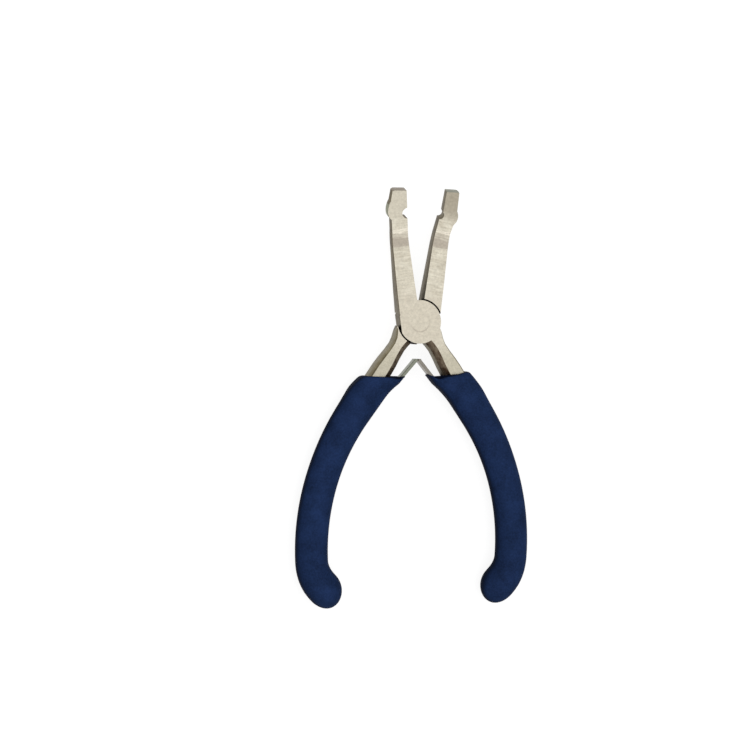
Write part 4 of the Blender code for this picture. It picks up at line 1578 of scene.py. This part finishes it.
@dataclass
class Studio:
    """White floor, soft overhead light and the photograph's camera."""

    # The camera, from its turn and its distance to the tool
    tilt_x: float = 1.6709 * DEG
    tilt_y: float = 14.8298 * DEG
    tilt_z: float = -1.2264 * DEG
    shift_x: float = 11.757 * MM
    shift_y: float = 15.817 * MM
    distance: float = 608.68 * MM
    lens: float = 98.467
    sensor: float = 36.0
    nearest: float = 0.01

    # The table top, the room and the lamp; the glow is what the camera sees added to the lit floor
    floor_size: float = 3.0
    floor_tone: str = "#888888"
    floor_glow: float = 0.84
    room_light: float = 0.3
    lamp_size: float = 3.0
    lamp_height: float = 1.4
    lamp_power: float = 33.0

    @staticmethod
    def seen(tree: NodeTree) -> NodeSocket:
        """Mask of what the camera and the metal's reflections see, and not of what lights the tool.

        Args:
            tree: The node tree of the floor or the world.

        Returns:
            The mask.
        """
        paths = add_node(tree, "LightPath")
        return add_node(tree, "Math",
                        links={0: paths.outputs["Is Camera Ray"], 1: paths.outputs["Is Glossy Ray"]},
                        operation="MAXIMUM").outputs["Value"]

    def floor(self, height: float) -> None:
        """White table top under the tool.

        Args:
            height: Height of the table top.
        """
        Bench.clear_selection()
        bpy.ops.mesh.primitive_plane_add(size=self.floor_size, location=(0.0, 0.0, height))
        floor = bpy.context.object
        floor.name = "table_top"
        Bench.set_in_place(floor)
        material = bpy.data.materials.new("white_laminate")
        material.use_nodes = True
        tree = material.node_tree
        tree.nodes.clear()
        seen = self.seen(tree)
        matt = add_node(tree, "BsdfDiffuse", {"Color": linear_colour(self.floor_tone)})
        glow = add_node(tree, "Emission", {"Strength": self.floor_glow})
        dark = add_node(tree, "Emission", {"Strength": 0.0})
        lift = add_node(tree, "MixShader",
                        links={0: seen, 1: dark.outputs["Emission"], 2: glow.outputs["Emission"]})
        both = add_node(tree, "AddShader", links={0: matt.outputs["BSDF"], 1: lift.outputs["Shader"]})
        add_node(tree, "OutputMaterial", links={"Surface": both.outputs["Shader"]})
        floor.data.materials.append(material)
        floor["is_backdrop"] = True

    def world(self) -> None:
        """Even white surroundings, brighter for the camera and for what the metal reflects."""
        world = bpy.data.worlds.new("white_room")
        bpy.context.scene.world = world
        world.use_nodes = True
        tree = world.node_tree
        tree.nodes.clear()
        seen = self.seen(tree)
        strength = add_node(tree, "MapRange", {"To Min": self.room_light, "To Max": 1.0}, {"Value": seen})
        back = add_node(tree, "Background", {"Color": linear_colour("#FFFFFF")},
                        {"Strength": strength.outputs["Result"]})
        add_node(tree, "OutputWorld", links={"Surface": back.outputs["Background"]})

    def lamps(self) -> None:
        """One large soft panel overhead."""
        Bench.clear_selection()
        bpy.ops.object.light_add(type="AREA", location=(0.0, 0.0, self.lamp_height))
        lamp = bpy.context.object
        lamp.name = "soft_panel"
        lamp.data.shape = "SQUARE"
        lamp.data.size = self.lamp_size
        lamp.data.energy = self.lamp_power
        lamp.visible_glossy = False

    def camera(self) -> None:
        """Camera at the photograph's viewing angle."""
        turn = (Matrix.Rotation(self.tilt_z, 3, "Z") @ Matrix.Rotation(self.tilt_x, 3, "X")
                @ Matrix.Rotation(self.tilt_y, 3, "Y"))
        place = turn.transposed() @ Vector((-self.shift_x, -self.shift_y, self.distance))
        data = bpy.data.cameras.new("photo_camera")
        data.lens = self.lens
        data.sensor_width = self.sensor
        data.clip_start = self.nearest
        camera = bpy.data.objects.new("photo_camera", data)
        camera.matrix_world = Matrix.Translation(place) @ turn.transposed().to_4x4()
        bpy.context.scene.collection.objects.link(camera)
        bpy.context.scene.camera = camera

    def build(self, lowest: float) -> None:
        """Set up the floor, the light and the camera.

        Args:
            lowest: Height of the lowest point of the tool.
        """
        bpy.context.scene.view_settings.view_transform = "Standard"
        self.floor(lowest)
        self.world()
        self.lamps()
        self.camera()


def dress_rivet(node: Object, finish: Material) -> None:
    """Give a spring rivet, which the grip hides, its strip's finish."""
    node.data.materials.clear()
    node.data.materials.append(finish)


def report(piece: Object) -> None:
    """Log the name of a piece and how many faces it has."""
    LOG.info("%s: %d faces", piece.name, len(piece.data.polygons))


def main() -> None:
    """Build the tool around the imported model."""
    logging.basicConfig(level=logging.INFO, format="%(message)s")
    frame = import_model()
    cad_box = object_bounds()
    nodes = frame["nodes"]
    springs = {side: RolledSpring(f"rolled_spring_steel_{side.word}", light=light, dark=dark).make()
               for side, light, dark in ((Side.RIGHT, "#98938A", "#807B72"),
                                         (Side.LEFT, "#96998B", "#7C8072"))}
    sheared = ForgedNickel("sheared_end_of_spring_strip", light="#6E6457", dark="#4E463C").make()
    vinyl = DippedVinyl("moulded_navy_vinyl", light="#213359", dark="#16233E").make()
    metalwork = Metalwork()
    # The side zones are lighter and darker copies of one forged finish by which way each faces: painted
    # light and shade over the forged nickel
    finishes = {zone: ForgedNickel(name, light=light, dark=dark).make() for zone, name, light, dark in (
        (Zone.JAW_SIDE, "forged_nickel_jaw_side", "#7A715E", "#5A5140"),
        (Zone.EAR_SIDE, "forged_nickel_ear_side", "#949583", "#7C7C6B"),
        (Zone.TANG_EDGE, "forged_nickel_tang_edge", "#8F8770", "#736B55"),
        (Zone.TANG_BEVEL, "forged_nickel_tang_bevel", "#8C7F6D", "#4C392B"),
        (Zone.TANG_INNER, "forged_nickel_tang_inner", "#7C735D", "#5D5543"),
        # Near black: painted shade in the slit of the lap
        (Zone.LAP, "painted_shade_of_the_joint_lap", "#2E251D", "#1E1813"))}
    # The nose colour is painted shade on each tilted tip, darker on the rear lever
    for node_name, name, side, nose, light, dark in (
            ("front_lever", "lever_front", Side.RIGHT, "#D2CBBA", "#999083", "#847B6E"),
            ("rear_lever", "lever_rear", Side.LEFT, "#A49B89", "#95968A", "#818174")):
        ground = GroundNickel(f"ground_satin_nickel_{side.word}", light="#E7E1D0", dark="#C8C0AE",
                              nose=nose, turn=-side.value * OPENING / 2.0).make()
        finishes[Zone.GROUND] = ground
        finishes[Zone.NOSE_END] = ForgedNickel(f"forged_nickel_nose_end_{side.word}",
                                               light=light, dark=dark).make()
        report(metalwork.lever(nodes[node_name], name, side, finishes))
        if side is Side.RIGHT:
            report(metalwork.rivet(nodes["pivot_rivet"], ground))
    for side in Side:
        line = HandleLine(side)
        leaf = LeafSpring(line)
        report(leaf.build(nodes[f"leaf_spring_{side.word}"], [springs[side], sheared]))
        report(GripSleeve(line).build(nodes[f"grip_{side.word}"], leaf, vinyl))
        dress_rivet(nodes[f"spring_rivet_{side.word}"], springs[side])
    Studio().build(cad_box[0][2])


if __name__ == "__main__":
    main()
